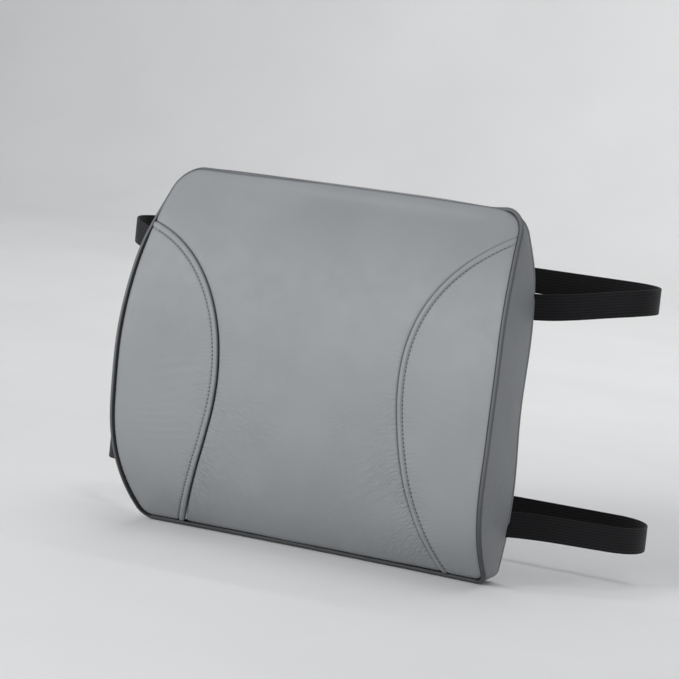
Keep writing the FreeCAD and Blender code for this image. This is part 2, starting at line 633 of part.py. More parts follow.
def make_socket():
    """The half on the right: an open-ended housing with side windows and a strap bar."""
    half = SOCKET_LENGTH / 2
    high = BUCKLE_HEIGHT / 2
    deep = BUCKLE_THICKNESS / 2
    cavity_high = high - SOCKET_WALL
    cavity_deep = deep - SOCKET_SKIN
    body = box(-half, half, -deep, deep, -high, high)
    body = body.makeFillet(SOCKET_EDGE_RADIUS, long_edges(body))
    body = body.cut(box(-2 * half, half - SOCKET_END_WALL, -cavity_deep, cavity_deep,
                        -cavity_high, cavity_high))
    window_start = PRONG_HEAD_START - BUCKLE_CLEARANCE
    window_end = PRONG_HEAD_START + PRONG_HEAD_LENGTH + BUCKLE_CLEARANCE
    body = body.cut(box(window_start, window_end, -cavity_deep, cavity_deep, -2 * high, 2 * high))
    thumb = PRONG_HEAD_LENGTH / 2 - THUMB_INSET
    middle = PRONG_HEAD_START + PRONG_HEAD_LENGTH / 2
    for side in (-1, 1):
        body = body.cut(rod(thumb, (middle, -2 * deep, side * (high + thumb / 2)), (0, 1, 0), 4 * deep))
    bar_end = STRAP_BAR_AT + STRAP_BAR_RADIUS + RAIL_END
    rails = [rail(half - JOIN_OVERLAP, bar_end, side, high) for side in (-1, 1)]
    return fused([body] + rails + [strap_bar(STRAP_BAR_AT)])


def make_plug():
    """The half on the left: strap bar, shoulder and centre tongue, with pockets for the prongs."""
    shoulder = -SOCKET_LENGTH / 2 - BUCKLE_CLEARANCE
    base_end = (-STRAP_BAR_AT + STRAP_BAR_RADIUS + 2 * BUCKLE_CLEARANCE + WEBBING_THICKNESS
                + PLUG_WEBBING_ROOM)
    deep = BUCKLE_THICKNESS / 2 - PLUG_STEP_IN
    edge = BUCKLE_HEIGHT / 2 - PLUG_SIDE_STEP_IN
    base = box(base_end, shoulder, -deep, deep, -edge, edge)
    base = base.makeFillet(PLUG_EDGE_RADIUS, long_edges(base))
    pocket_deep = PRONG_THICKNESS / 2 + BUCKLE_CLEARANCE
    pocket_end = -PRONG_PIVOT - PRONG_ARM / 2 - BUCKLE_CLEARANCE
    for side in (-1, 1):
        inner = side * (PRONG_OFFSET - PRONG_ARM / 2 - POCKET_INNER_ROOM)
        outer = side * (PRONG_OFFSET + PRONG_ARM / 2 + POCKET_OUTER_ROOM)
        low, high = sorted((inner, outer))
        base = base.cut(box(pocket_end, 0, -pocket_deep, pocket_deep, low, high))
    bar_end = -STRAP_BAR_AT - STRAP_BAR_RADIUS - RAIL_END
    rails = [rail(bar_end, base_end + JOIN_OVERLAP, side, edge) for side in (-1, 1)]
    tongue = box(shoulder - JOIN_OVERLAP, TONGUE_TIP, -TONGUE_THICKNESS / 2, TONGUE_THICKNESS / 2,
                 -TONGUE_WIDTH / 2, TONGUE_WIDTH / 2)
    return fused([base] + rails + [strap_bar(-STRAP_BAR_AT), tongue])


def make_prong():
    """The upper sprung arm with its latching head."""
    low = PRONG_OFFSET - PRONG_ARM / 2
    high = PRONG_OFFSET + PRONG_ARM / 2
    deep = PRONG_THICKNESS / 2
    head_end = PRONG_HEAD_START + PRONG_HEAD_LENGTH
    knuckle = rod(PRONG_ARM / 2, (-PRONG_PIVOT, -deep, PRONG_OFFSET), (0, 1, 0), PRONG_THICKNESS)
    arm = box(-PRONG_PIVOT, PRONG_HEAD_START + PRONG_HEAD_OVERLAP, -deep, deep, low, high)
    corners = [Vector(PRONG_HEAD_START, -deep, low), Vector(head_end, -deep, low),
               Vector(head_end, -deep, high), Vector(head_end - PRONG_NOSE, -deep, PRONG_HEAD_TOP),
               Vector(PRONG_HEAD_START, -deep, PRONG_HEAD_TOP)]
    head = Part.Face(Part.makePolygon(corners + corners[:1])).extrude(Vector(0, PRONG_THICKNESS, 0))
    return fused([knuckle, arm, head])


def placed(shape, route):
    """A buckle piece moved from the buckle's own centre to its place on the strap."""
    moved = shape.copy()
    moved.translate(Vector(0, route.rear_y - STRAP_BAR_TURN, route.rear_z))
    return moved


def make_straps():
    """Both straps with their hardware. Returns the solids that pass through the gussets."""
    through = []
    socket, plug, prong = make_socket(), make_plug(), make_prong()
    for name, (height, side_run, rise) in STRAPS.items():
        route = StrapRoute(height, side_run, rise)
        right = socket_strap(route)
        left = mirrored(make_half_strap(route, -(ADJUSTER_AT + ADJUSTER_LENGTH)), (1, 0, 0))
        through += [route.side_run(), mirrored(route.side_run(), (1, 0, 0))]
        save(name + "_strap_right", right)
        save(name + "_strap_left", left)
        save(name + "_strap_loop", make_strap_loop(route))
        save(name + "_adjuster", make_adjuster(route))
        save(name + "_buckle_socket", placed(socket, route))
        save(name + "_buckle_plug", placed(plug, route))
        save(name + "_prong_top", placed(prong, route))
        save(name + "_prong_bottom", placed(mirrored(prong, (0, 0, 1)), route))
        print("%s prong pivots x %.2f y %.2f z %.2f +- %.2f"
              % (name, -PRONG_PIVOT, route.rear_y - STRAP_BAR_TURN, route.rear_z, PRONG_OFFSET))
        print("%s root x %.1f z %.1f; rear y %.1f z %.1f; half-width %.1f; seam to rear run %.0f"
              % (name, route.root_x, route.root_z, route.rear_y, route.rear_z,
                 route.centre_x + STRAP_BEND_RADIUS, route.length_to_rear))
    return through


make_gussets(make_straps())
make_front_panels()
make_back_panel()
make_filling()
make_piping()
make_zip_tapes()
make_zip_teeth()
make_zip_stops()
make_zip_slider()
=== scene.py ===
"""Looks of the strap-on lumbar support cushion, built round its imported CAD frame.

Sizes below are in millimetres in the cushion's own frame: the origin is the centre of the back
face, +X is right seen from the front, +Z is up, and the front faces -Y. Meshes are in metres.
"""
import bpy
import math
import numpy as np
from mathutils import Matrix, Vector
from mathutils.kdtree import KDTree


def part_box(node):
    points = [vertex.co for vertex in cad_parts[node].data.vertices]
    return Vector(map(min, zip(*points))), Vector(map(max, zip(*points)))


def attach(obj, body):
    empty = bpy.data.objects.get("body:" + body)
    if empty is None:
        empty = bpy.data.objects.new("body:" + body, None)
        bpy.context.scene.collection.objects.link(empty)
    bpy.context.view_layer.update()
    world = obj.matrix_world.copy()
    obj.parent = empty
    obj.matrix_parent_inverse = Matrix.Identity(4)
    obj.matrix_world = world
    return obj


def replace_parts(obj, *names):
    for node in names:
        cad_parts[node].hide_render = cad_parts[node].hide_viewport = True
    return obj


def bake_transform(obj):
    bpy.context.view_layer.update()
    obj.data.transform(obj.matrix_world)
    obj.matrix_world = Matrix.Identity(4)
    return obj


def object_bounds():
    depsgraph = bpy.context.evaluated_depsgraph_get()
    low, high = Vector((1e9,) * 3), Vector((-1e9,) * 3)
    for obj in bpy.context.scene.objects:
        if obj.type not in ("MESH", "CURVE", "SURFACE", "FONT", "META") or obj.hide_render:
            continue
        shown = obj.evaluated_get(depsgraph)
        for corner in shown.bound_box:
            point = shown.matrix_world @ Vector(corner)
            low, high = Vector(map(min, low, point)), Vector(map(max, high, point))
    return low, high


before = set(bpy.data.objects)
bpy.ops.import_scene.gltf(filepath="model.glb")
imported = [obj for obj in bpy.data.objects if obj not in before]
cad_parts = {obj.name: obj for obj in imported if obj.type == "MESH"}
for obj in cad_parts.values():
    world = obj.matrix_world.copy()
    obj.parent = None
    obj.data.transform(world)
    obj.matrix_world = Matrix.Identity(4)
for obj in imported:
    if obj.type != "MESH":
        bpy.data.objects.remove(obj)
CAD_BOX = [list(corner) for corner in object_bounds()]
MM = 0.001

# ---- the cushion's shape, as in the CAD model ----
HEIGHT = 350.0
BOTTOM = -HEIGHT / 2
TOP = HEIGHT / 2
BOTTOM_HALF = 186.5
MIDDLE_HALF = 200.0
TOP_HALF = 182.5
TOP_CROWN = 1.0
BOTTOM_CORNER = 10.0
TOP_CORNER = 20.0
BASE_DEPTH = 26.5
BELLY_DEPTH = 89.0
TOP_DEPTH = 18.0
BELLY_AT = 126.0
LOWER_POWER = 2.5
UPPER_POWER = 2.83
MIDDLE_HOLLOW = 9.5
BASE_HOLLOW = 5.0
SEAM_POLES = {
    -1: ((141.5, 0.0), (59.0, 129.0), (79.0, 267.5), (194.0, 297.0)),
    1: ((141.5, 0.0), (105.5, 128.5), (44.5, 258.0), (204.0, 338.5)),
}
PIPING_RADIUS = 2.5

# ---- sewn detail ----
STITCH_OFFSET = 6.2          # topstitch to seam, on the side panels
TURN_IN = 2.6                # depth to which a panel's edge turns in at its seam
STITCH_PITCH = 3.9
SEAM_DIP = 2.0
PUFF = 2.0
GUSSET_BULGE = 2.2
LIP_WIDTH = 2.6              # turned edge along the rear seam
LIP_GROOVE = LIP_WIDTH + 0.6 # its groove, from the rear seam
EDGE_INSET = 0.6             # front panels to outline
GUSSET_LAP = 1.2             # gusset's front edge behind the plain face
PUCKER_PITCH = 3.9
GATHER_PITCH = 4.6           # front's gathers beside the piping
GUSSET_GATHER_PITCH = 4.1
PIPING_RIB_PITCH = 3.3
PIPING_SINK_IN = 2.6         # piping rolled under along the top: towards the middle
PIPING_SINK_BACK = 4.5       # and backwards
CORD_RADIUS = 1.5
SIDE_PHASE = 200.0           # keeps the two seams' gathers apart
STITCH_LIFT = 0.10
STITCH_GAP = 0.26            # share of the pitch left free at each end of a stitch
HOLE_SHADE_LIFT = 0.12

# ---- straps and their hardware, as in the CAD model ----
WEBBING_WIDTH = 25.0
WEBBING_THICKNESS = 1.4
RIB_PITCH = 1.4
PICK_PITCH = 1.3
STRAP_SWEEP = math.radians(35)
BEND_RADIUS = 45.0
BAR_AT = 24.0
BAR_TURN = 2.3               # plug or socket bar's axis to the webbing round it
ADJUSTER_AT = -95.0
CENTRE_BAR_TURN = 2.2
LOOP_MIDDLE = -58.0          # x where the loop's two pieces meet
BOX_STITCH_LIFT = 0.78       # webbing's centre line to the stitches on it
TURN_STEPS = 26
# side seam height, run to the bend behind and rise on the way
STRAPS = {"upper": (262.0, 85.0, 13.0), "lower": (54.5, 100.0, -9.0)}


# ---------------------------------------------------------------- small helpers
def smooth(t):
    t = np.clip(t, 0, 1)
    return t * t * (3 - 2 * t)


def eased(count, ease=0.6):
    """0 to 1 in count steps, closer together at both ends."""
    t = np.linspace(0, 1, count)
    return (1 - ease) * t + ease * (0.5 - 0.5 * np.cos(np.pi * t))


def ripple(x, z, wavelength, seed, waves=7):
    """Soft random unevenness of about that wavelength, from -1 to 1."""
    rng = np.random.default_rng(seed)
    total = np.zeros(np.broadcast(x, z).shape)
    for _ in range(waves):
        turn = rng.uniform(0, 2 * np.pi)
        step = 2 * np.pi / (wavelength * rng.uniform(0.75, 1.4))
        total += np.sin(step * (x * np.cos(turn) + z * np.sin(turn)) + rng.uniform(0, 2 * np.pi))
    return total / waves * 1.6


def make_mesh(name, points, faces, material):
    """A smooth mesh object from points in millimetres, and an array or a list of faces."""
    mesh = bpy.data.meshes.new(name)
    faces = faces.tolist() if isinstance(faces, np.ndarray) else faces
    mesh.from_pydata((np.asarray(points, float) * MM).tolist(), [], faces)
    mesh.update()
    mesh.shade_smooth()
    thing = bpy.data.objects.new(name, mesh)
    bpy.context.scene.collection.objects.link(thing)
    mesh.materials.append(material)
    return thing


def grid_faces(rows, cols, start=0, flip=False, wrap=False):
    """Quads of a rows by cols grid of points numbered row by row."""
    i, j = np.meshgrid(np.arange(rows - 1), np.arange(cols if wrap else cols - 1), indexing="ij")
    a = start + i * cols + j
    b = start + i * cols + (j + 1) % cols
    quads = np.stack([a, b, b + cols, a + cols], -1).reshape(-1, 4)
    return quads[:, ::-1] if flip else quads


def give_floats(thing, name, values):
    attribute = thing.data.attributes.new(name, "FLOAT_VECTOR", "POINT")
    attribute.data.foreach_set("vector", np.asarray(values, np.float32).ravel())


def give_shade(thing, name, values):
    """One number per point, stored as a grey."""
    give_floats(thing, name, np.repeat(values.reshape(-1, 1), 3, 1))


# ---------------------------------------------------------------- shape of the cushion
def side_half(z):
    """Half-width of the outline at a height, before its corners are rounded."""
    sagitta = MIDDLE_HALF - (BOTTOM_HALF + TOP_HALF) / 2
    lean = (TOP_HALF - BOTTOM_HALF) / HEIGHT
    return MIDDLE_HALF - sagitta * (z / TOP) ** 2 + lean * z


def edge_half(z):
    """Half-width of the outline at a height, corners included."""
    low = np.clip(BOTTOM_CORNER - (z - BOTTOM), 0, BOTTOM_CORNER)
    high = np.clip(TOP_CORNER - (TOP - z), 0, TOP_CORNER)
    half = side_half(z)
    half = half - BOTTOM_CORNER + np.sqrt(BOTTOM_CORNER ** 2 - low ** 2)
    return half - TOP_CORNER + np.sqrt(TOP_CORNER ** 2 - high ** 2)


def crowned(x, z):
    """Height after the top edge's crown has been added."""
    return z + TOP_CROWN * (1 - (x / TOP_HALF) ** 2) * smooth((z - TOP + 60) / 60)


def face_depth(x, z):
    height = z - BOTTOM
    low = np.clip(1 - height / BELLY_AT, 0, 2)
    high = np.clip((height - BELLY_AT) / (HEIGHT - BELLY_AT), 0, 2)
    depth = BELLY_DEPTH - (BELLY_DEPTH - BASE_DEPTH) * low ** LOWER_POWER
    depth = depth - (BELLY_DEPTH - TOP_DEPTH) * high ** UPPER_POWER
    along = height / HEIGHT
    hollow = BASE_HOLLOW * (1 - along) + MIDDLE_HOLLOW * 4 * along * (1 - along)
    return depth - hollow * (1 - (x / MIDDLE_HALF) ** 2)


def face_normal(x, z):
    step = 0.5
    slope_x = (face_depth(x + step, z) - face_depth(x - step, z)) / (2 * step)
    slope_z = (face_depth(x, z + step) - face_depth(x, z - step)) / (2 * step)
    normal = -np.stack([slope_x, np.ones_like(slope_x), slope_z], -1)
    return normal / np.linalg.norm(normal, axis=-1, keepdims=True)


def on_face(x, z, height):
    """A point that stands height millimetres off the plain front face."""
    base = np.stack([x, -face_depth(x, z), z], -1)
    return base + face_normal(x, z) * np.asarray(height)[..., None]


def lengths(line):
    """Distance from a line's start to each of its points."""
    return np.concatenate([[0], np.cumsum(np.linalg.norm(np.diff(line, axis=0), axis=1))])


def outline():
    """The whole outline, evenly spaced, from the bottom's middle round by the right side."""
    turn = np.linspace(0, np.pi / 2, 16)
    low = BOTTOM + BOTTOM_CORNER * (1 - np.cos(turn))
    high = TOP - TOP_CORNER * (1 - np.cos(turn[::-1]))
    z = np.concatenate([low, np.linspace(low[-1], high[0], 200)[1:-1], high])
    x = edge_half(z)
    x = np.concatenate([np.linspace(0, x[0], 60)[:-1], x, np.linspace(x[-1], 0, 60)[1:]])
    z = np.concatenate([np.full(59, BOTTOM), z, np.full(59, TOP)])
    z = crowned(x, z)
    x = np.concatenate([x, -x[-2:0:-1]])
    z = np.concatenate([z, z[-2:0:-1]])
    closed = np.stack([np.append(x, x[0]), np.append(z, z[0])], 1)
    along = lengths(closed)
    count = int(along[-1] / 1.2)
    even = np.linspace(0, along[-1], count, endpoint=False)
    return np.stack([np.interp(even, along, closed[:, k]) for k in (0, 1)], 1)


def outward(points):
    """Unit normals of a closed line that runs anticlockwise seen from the front."""
    tangent = np.roll(points, -2, 0) - np.roll(points, 2, 0)
    normal = np.stack([tangent[:, 1], -tangent[:, 0]], 1)
    return normal / np.linalg.norm(normal, axis=1, keepdims=True)


OUTLINE = outline()
OUTLINE_NORMAL = outward(OUTLINE)
EDGE_STEP = np.linalg.norm(OUTLINE[1] - OUTLINE[0])


def rear_edge(x, z):
    """Y of the rear seam: drawn forward at the waist and at the top corners."""
    share = (z - BOTTOM) / HEIGHT
    waist = -17.0 * np.exp(-((share - 0.47) / 0.19) ** 2)
    crown = -15.0 * smooth((share - 0.82) / 0.18) * smooth(np.abs(x) / TOP_HALF * 1.6 - 0.55)
    return waist + crown - 1.5 * smooth((share - 0.1) / 0.1)


def bezier(poles, t):
    a, b, c, d = (np.array(p) for p in poles)
    t = t[:, None]
    return (1 - t) ** 3 * a + 3 * t * (1 - t) ** 2 * b + 3 * t * t * (1 - t) * c + t ** 3 * d


SEAMS = {side: bezier(poles, np.linspace(0, 1, 900)) + np.array([0, BOTTOM])
         for side, poles in SEAM_POLES.items()}
SEAM_LENGTHS = {side: lengths(seam) for side, seam in SEAMS.items()}


def tree_of(points):
    tree = KDTree(len(points))
    for index, (x, z) in enumerate(points):
        tree.insert((x, z, 0), index)
    tree.balance()
    return tree


def nearest(tree, x, z):
    """Index of and distance to the nearest point of a line, for each point."""
    found = [tree.find((a, b, 0)) for a, b in zip(x.ravel(), z.ravel())]
    index = np.array([f[1] for f in found], int).reshape(x.shape)
    return index, np.array([f[2] for f in found], float).reshape(x.shape)


OUTLINE_TREE = tree_of(OUTLINE)
SEAM_TREES = {side: tree_of(seam) for side, seam in SEAMS.items()}


def seam_half(z, side):
    return np.interp(z, SEAMS[side][:, 1], SEAMS[side][:, 0])


def nearest_seam(x, z):
    """Distance to the seam on that side, and how far along that seam."""
    distance, along = np.zeros_like(x), np.zeros_like(x)
    for side, tree in SEAM_TREES.items():
        mine = x < 0 if side < 0 else x >= 0
        index, away = nearest(tree, np.abs(x[mine]), z[mine])
        distance[mine] = away
        along[mine] = SEAM_LENGTHS[side][index] + SIDE_PHASE * side
    return distance, along


# ---------------------------------------------------------------- relief of the front
# Faint drag wrinkles: middle x and z, direction in degrees, reach, wavelength, height
WRINKLES = (
    (-38.0, -70.0, -28.0, 34.0, 11.0, 0.10),
    (84.0, -96.0, 32.0, 30.0, 9.0, 0.10),
    (-142.0, -70.0, 8.0, 26.0, 8.0, 0.10),
    (-132.0, -20.0, 14.0, 26.0, 11.0, 0.10),
    (150.0, -20.0, 168.0, 26.0, 10.0, 0.08),
    (40.0, 60.0, -40.0, 60.0, 26.0, 0.16),
)


def wrinkle_height(x, z):
    total = np.zeros_like(x)
    for seed, (cx, cz, turn, reach, wavelength, height) in enumerate(WRINKLES):
        turn = math.radians(turn)
        along = (x - cx) * math.cos(turn) + (z - cz) * math.sin(turn)
        across = -(x - cx) * math.sin(turn) + (z - cz) * math.cos(turn)
        wander = 1.0 * ripple(x, z, 60, 40 + seed)
        fold = np.cos(2 * np.pi * (across + wander) / wavelength)
        within = np.exp(-(along / reach) ** 2 - (across / (reach * 0.8)) ** 2)
        total += height * within * fold
    return total


def pucker(along, z):
    """Short gathers beside a seam: their height, from how far along the seam they are."""
    height = z - BOTTOM
    strength = 0.22 + 0.34 * np.exp(-((height - 80) / 62) ** 2)
    phase = 2 * np.pi * along / PUCKER_PITCH + 2.2 * ripple(along, 0 * along, 31, 5)
    return strength * np.sin(phase) * (0.6 + 0.7 * ripple(along, 0 * along, 17, 6))


def crest(x, z):
    """How far the face rolls over the piping along the top and at the top left, from 0 to 1."""
    height = z - BOTTOM
    top = (0.45 + 0.55 * smooth((x + 75) / 60)) * smooth((height - 300) / 40)
    top = top * smooth((172 - x) / 30)
    left = 0.55 * smooth((-x - 100) / 50) * smooth((height - 262) / 60)
    return np.maximum(top, left)


def relief(x, z, panel):
    """Height of the leather over the plain front face. panel is -1 left, 0 centre or 1 right."""
    edge_index, to_edge = nearest(OUTLINE_TREE, x, z)
    to_seam, along = nearest_seam(x, z)
    rolled = crest(x, z)
    height = PUFF * (1 - np.exp(-to_edge / 30))
    height = height - 2.1 * (1 - 0.9 * rolled) * np.exp(-to_edge / 1.8)
    height += 2.6 * rolled * np.exp(-((to_edge - 5) / 7) ** 2)
    height += 0.45 * ripple(x, z, 120, 1) + 0.16 * ripple(x, z, 42, 2)
    height += wrinkle_height(x, z)
    fade = 1 - 0.45 * smooth((z - BOTTOM - 285) / 25)
    if panel == 0:
        height -= fade * (SEAM_DIP * np.exp(-to_seam / 0.9) + 0.9 * np.exp(-to_seam / 8))
        height += fade * pucker(along, z) * np.exp(-to_seam / 9) * smooth(to_seam / 1.5)
    else:
        band = np.clip(to_seam / STITCH_OFFSET, 0, 1)
        height += fade * 0.95 * np.sin(np.pi * band) ** 0.7
        height -= fade * SEAM_DIP * np.exp(-to_seam / 0.6)
        height -= fade * 0.9 * np.exp(-((to_seam - STITCH_OFFSET) / 0.9) ** 2)
        beyond = np.clip(to_seam - STITCH_OFFSET, 0, None)
        height += fade * pucker(along + 60, z) * np.exp(-beyond / 8) * smooth(beyond / 1.5)
    gather = np.exp(-to_edge / 6) * smooth((40 - z) / 80) * smooth(to_edge / 2)
    edge_along = edge_index * EDGE_STEP
    phase = 2 * np.pi * edge_along / GATHER_PITCH + 1.5 * ripple(edge_along, 0 * edge_along, 40, 8)
    return height + 0.22 * gather * np.sin(phase)


def seam_shade_and_drag(x, z, panel):
    """Painted shade in the creases and seam grooves of the front, and the fine drag lines' coordinates
    and strength.
    """
    _, to_edge = nearest(OUTLINE_TREE, x, z)
    to_seam, along = nearest_seam(x, z)
    height = z - BOTTOM
    high = smooth((height - 170) / 110)
    # painted shade: dark in the seam's crease, stronger on the left and lower down, and beside the
    # piping
    crease_shade = np.exp(-(to_seam / (1.0 - 0.3 * high)) ** 2)
    crease_shade = crease_shade * np.where(x < 0, 1.0, 0.62) * (1 - 0.5 * high)
    crease_shade = np.maximum(crease_shade, np.exp(-(to_edge / 1.7) ** 2))
    # a lighter painted shade in the topstitch's groove on the side panels
    if panel:
        crease_shade = np.maximum(crease_shade, 0.30 * np.exp(-((to_seam - STITCH_OFFSET) / 0.6) ** 2))
    lines = along + np.where(x < 0, 0.2, 0.42) * to_seam + 1.6 * ripple(x, z, 24, 52)
    low = smooth(height / 18) * (1 - smooth((height - 90) / 120))
    reach = 11 if panel else 40
    strength = (0.08 + 0.92 * low) * (0.06 + 0.94 * np.exp(-to_seam / reach))
    strength = strength * np.where(x < 0, 1.1, 0.85)
    strength = strength * (0.75 + 0.5 * ripple(x, z, 55, 51)) * smooth(np.abs(x) / 30)
    return crease_shade, np.stack([to_seam / 8.0, lines / 2.4, np.clip(strength, 0, 1)], -1)


# ---------------------------------------------------------------- materials
def new_material(name, color, roughness, **sockets):
    material = bpy.data.materials.new(name)
    material.use_nodes = True
    shader = material.node_tree.nodes["Principled BSDF"]
    shader.inputs["Base Color"].default_value = (*color, 1)
    shader.inputs["Roughness"].default_value = roughness
    for key, value in sockets.items():
        shader.inputs[key.replace("_", " ")].default_value = value
    return material, material.node_tree, shader


def add(tree, kind, **values):
    """A node with some of its properties and inputs set."""
    node = tree.nodes.new(kind)
    for key, value in values.items():
        if key in node.inputs:
            node.inputs[key].default_value = value
        else:
            setattr(node, key, value)
    return node


def place_of(tree, attribute=None):
    """Coordinates in metres on the piece itself, or a stored attribute."""
    if attribute:
        return add(tree, "ShaderNodeAttribute", attribute_name=attribute).outputs["Vector"]
    return add(tree, "ShaderNodeTexCoord").outputs["Object"]


def noise(tree, place, scale, detail=3.0):
    node = add(tree, "ShaderNodeTexNoise", Scale=scale, Detail=detail)
    tree.links.new(place, node.inputs["Vector"])
    return node.outputs["Fac"]


def ramp(tree, value, low, high, color_low, color_high):
    node = add(tree, "ShaderNodeValToRGB")
    node.color_ramp.elements[0].position = low
    node.color_ramp.elements[0].color = (*color_low, 1)
    node.color_ramp.elements[1].position = high
    node.color_ramp.elements[1].color = (*color_high, 1)
    tree.links.new(value, node.inputs["Fac"])
    return node.outputs["Color"]


def darkened(tree, color, value, low, high, color_low, color_high):
    """A colour multiplied by a ramp of a value."""
    node = add(tree, "ShaderNodeMix", data_type="RGBA", blend_type="MULTIPLY")
    node.inputs[0].default_value = 1.0
    tree.links.new(color, node.inputs[6])
    tree.links.new(ramp(tree, value, low, high, color_low, color_high), node.inputs[7])
    return node.outputs[2]


def flattened(tree, place, scale):
    """Coordinates with one axis left out."""
    node = add(tree, "ShaderNodeMapping")
    node.inputs["Scale"].default_value = scale
    tree.links.new(place, node.inputs[0])
    return node.outputs[0]


def product(tree, first, second):
    node = add(tree, "ShaderNodeMath", operation="MULTIPLY")
    tree.links.new(first, node.inputs[0])
    tree.links.new(second, node.inputs[1])
    return node.outputs[0]


def height_of(tree, vector):
    """The third number of a vector."""
    node = add(tree, "ShaderNodeSeparateXYZ")
    tree.links.new(vector, node.inputs[0])
    return node.outputs["Z"]


def span(tree, value, low, high, to_low, to_high):
    node = add(tree, "ShaderNodeMapRange")
    for index, number in enumerate((low, high, to_low, to_high)):
        node.inputs[index + 1].default_value = number
    tree.links.new(value, node.inputs[0])
    return node.outputs[0]


def bumps(tree, shader, layers):
    """Chains bump nodes: each layer is a value, its strength and its depth in metres."""
    last = None
    for value, strength, distance in layers:
        node = add(tree, "ShaderNodeBump", Strength=strength, Distance=distance)
        tree.links.new(value, node.inputs["Height"])
        if last:
            tree.links.new(last, node.inputs["Normal"])
        last = node.outputs["Normal"]
    tree.links.new(last, shader.inputs["Normal"])


WHITE = (1.0, 1.0, 1.0)


def leather(name, dark, light, roughness, grain=900.0, grain_depth=0.00012):
    """Leather with its grain, darkened by painted shade where a stored crease value is high, and
    crossed by stored drag lines that are bumped and lightly darkened with painted shade.
    """
    material, tree, shader = new_material(name, light, roughness, Specular_IOR_Level=0.42)
    place = place_of(tree)
    cells = add(tree, "ShaderNodeTexVoronoi", feature="DISTANCE_TO_EDGE", Scale=grain, Randomness=1.0)
    tree.links.new(place, cells.inputs["Vector"])
    creases = span(tree, cells.outputs["Distance"], 0.0, 0.22, 0.0, 1.0)
    fine = noise(tree, place, grain * 2.6, 2.0)
    color = ramp(tree, noise(tree, place, 9.0, 4.0), 0.32, 0.70, dark, light)
    crease_shade = add(tree, "ShaderNodeAttribute", attribute_name="crease_shade").outputs["Fac"]
    # painted shade in the creases and seam grooves, from the stored per-point value
    color = darkened(tree, color, crease_shade, 0.0, 1.0, WHITE, (0.10, 0.10, 0.105))
    drag = place_of(tree, "drag")
    streaks = noise(tree, flattened(tree, drag, (1.0, 1.0, 0.0)), 1.0, 3.0)
    hatching = product(tree, span(tree, streaks, 0.38, 0.64, 0.0, 1.0), height_of(tree, drag))
    # painted shade along the fine drag lines, on top of their bump below
    color = darkened(tree, color, hatching, 0.0, 1.0, WHITE, (0.86, 0.86, 0.86))
    tree.links.new(color, shader.inputs["Base Color"])
    mottled = noise(tree, place, 70.0, 4.0)
    gloss = span(tree, mottled, 0.3, 0.7, roughness - 0.05, roughness + 0.06)
    tree.links.new(gloss, shader.inputs["Roughness"])
    bumps(tree, shader, [(hatching, 1.0, 0.0005), (mottled, 0.25, 0.0003),
                         (creases, 0.30, grain_depth), (fine, 0.15, 0.00005)])
    return material


def paint_piping_shade(material, attribute):
    """Darkens a piping leather with painted shade towards the seams on both sides of it, and towards
    the base.
    """
    tree = material.node_tree
    shader = tree.nodes["Principled BSDF"]
    color = shader.inputs["Base Color"].links[0].from_socket
    shown = add(tree, "ShaderNodeAttribute", attribute_name=attribute).outputs["Fac"]
    # painted shade in the grooves, where the tube turns in towards the seams
    color = darkened(tree, color, shown, 0.30, 0.72, (0.12, 0.12, 0.13), WHITE)
    height = height_of(tree, place_of(tree))
    low = span(tree, height, BOTTOM * MM, (BOTTOM + 130) * MM, 0.0, 1.0)
    # painted shade growing towards the base
    color = darkened(tree, color, low, 0.0, 1.0, (0.36, 0.36, 0.37), WHITE)
    tree.links.new(color, shader.inputs["Base Color"])


def knit_mesh(name, dark, light):
    """Spacer mesh: rows of small round openings in a soft knit."""
    material, tree, shader = new_material(name, light, 0.85, Sheen_Weight=0.25, Specular_IOR_Level=0.2)
    place = place_of(tree)
    holes = add(tree, "ShaderNodeTexVoronoi", feature="F1", Scale=330.0, Randomness=0.12)
    tree.links.new(flattened(tree, place, (1.0, 0.0, 1.0)), holes.inputs["Vector"])
    rim = span(tree, holes.outputs["Distance"], 0.18, 0.42, 0.0, 1.0)
    yarn = noise(tree, place, 2600.0, 2.0)
    color = ramp(tree, holes.outputs["Distance"], 0.20, 0.40, dark, light)
    tree.links.new(color, shader.inputs["Base Color"])
    bumps(tree, shader, [(rim, 0.9, 0.0009), (yarn, 0.35, 0.00015)])
    return material


def woven(name, dark, light, rib, roughness=0.8):
    """Cloth with fine ribs that follow each other along X."""
    material, tree, shader = new_material(name, light, roughness, Sheen_Weight=0.15,
                                          Specular_IOR_Level=0.25)
    place = place_of(tree)
    wave = add(tree, "ShaderNodeTexWave", bands_direction="X", Scale=1000.0 / rib / math.tau * 2.0)
    tree.links.new(place, wave.inputs["Vector"])
    fuzz = noise(tree, place, 1800.0, 3.0)
    color = ramp(tree, wave.outputs["Fac"], 0.1, 0.9, dark, light)
    tree.links.new(color, shader.inputs["Base Color"])
    bumps(tree, shader, [(wave.outputs["Fac"], 0.5, 0.00018), (fuzz, 0.35, 0.00012)])
    return material


def ribbed_webbing(name, dark, light):
    """Elastic webbing: lengthwise ribs crossed by fine picks, from a stored length and width."""
    material, tree, shader = new_material(name, light, 0.78, Sheen_Weight=0.12, Specular_IOR_Level=0.25)
    place = place_of(tree, "band")
    ribs = add(tree, "ShaderNodeTexWave", bands_direction="Y", Scale=1000.0 / RIB_PITCH / math.tau)
    picks = add(tree, "ShaderNodeTexWave", bands_direction="X", Scale=1000.0 / PICK_PITCH / math.tau)
    for wave in (ribs, picks):
        tree.links.new(place, wave.inputs["Vector"])
    fuzz = noise(tree, place, 900.0, 4.0)
    woven_in = product(tree, ribs.outputs["Fac"], span(tree, fuzz, 0.25, 0.75, 0.45, 1.0))
    tree.links.new(ramp(tree, woven_in, 0.05, 0.95, dark, light), shader.inputs["Base Color"])
    bumps(tree, shader, [(ribs.outputs["Fac"], 0.4, 0.0002), (picks.outputs["Fac"], 0.35, 0.00012),
                         (fuzz, 0.3, 0.00012)])
    return material


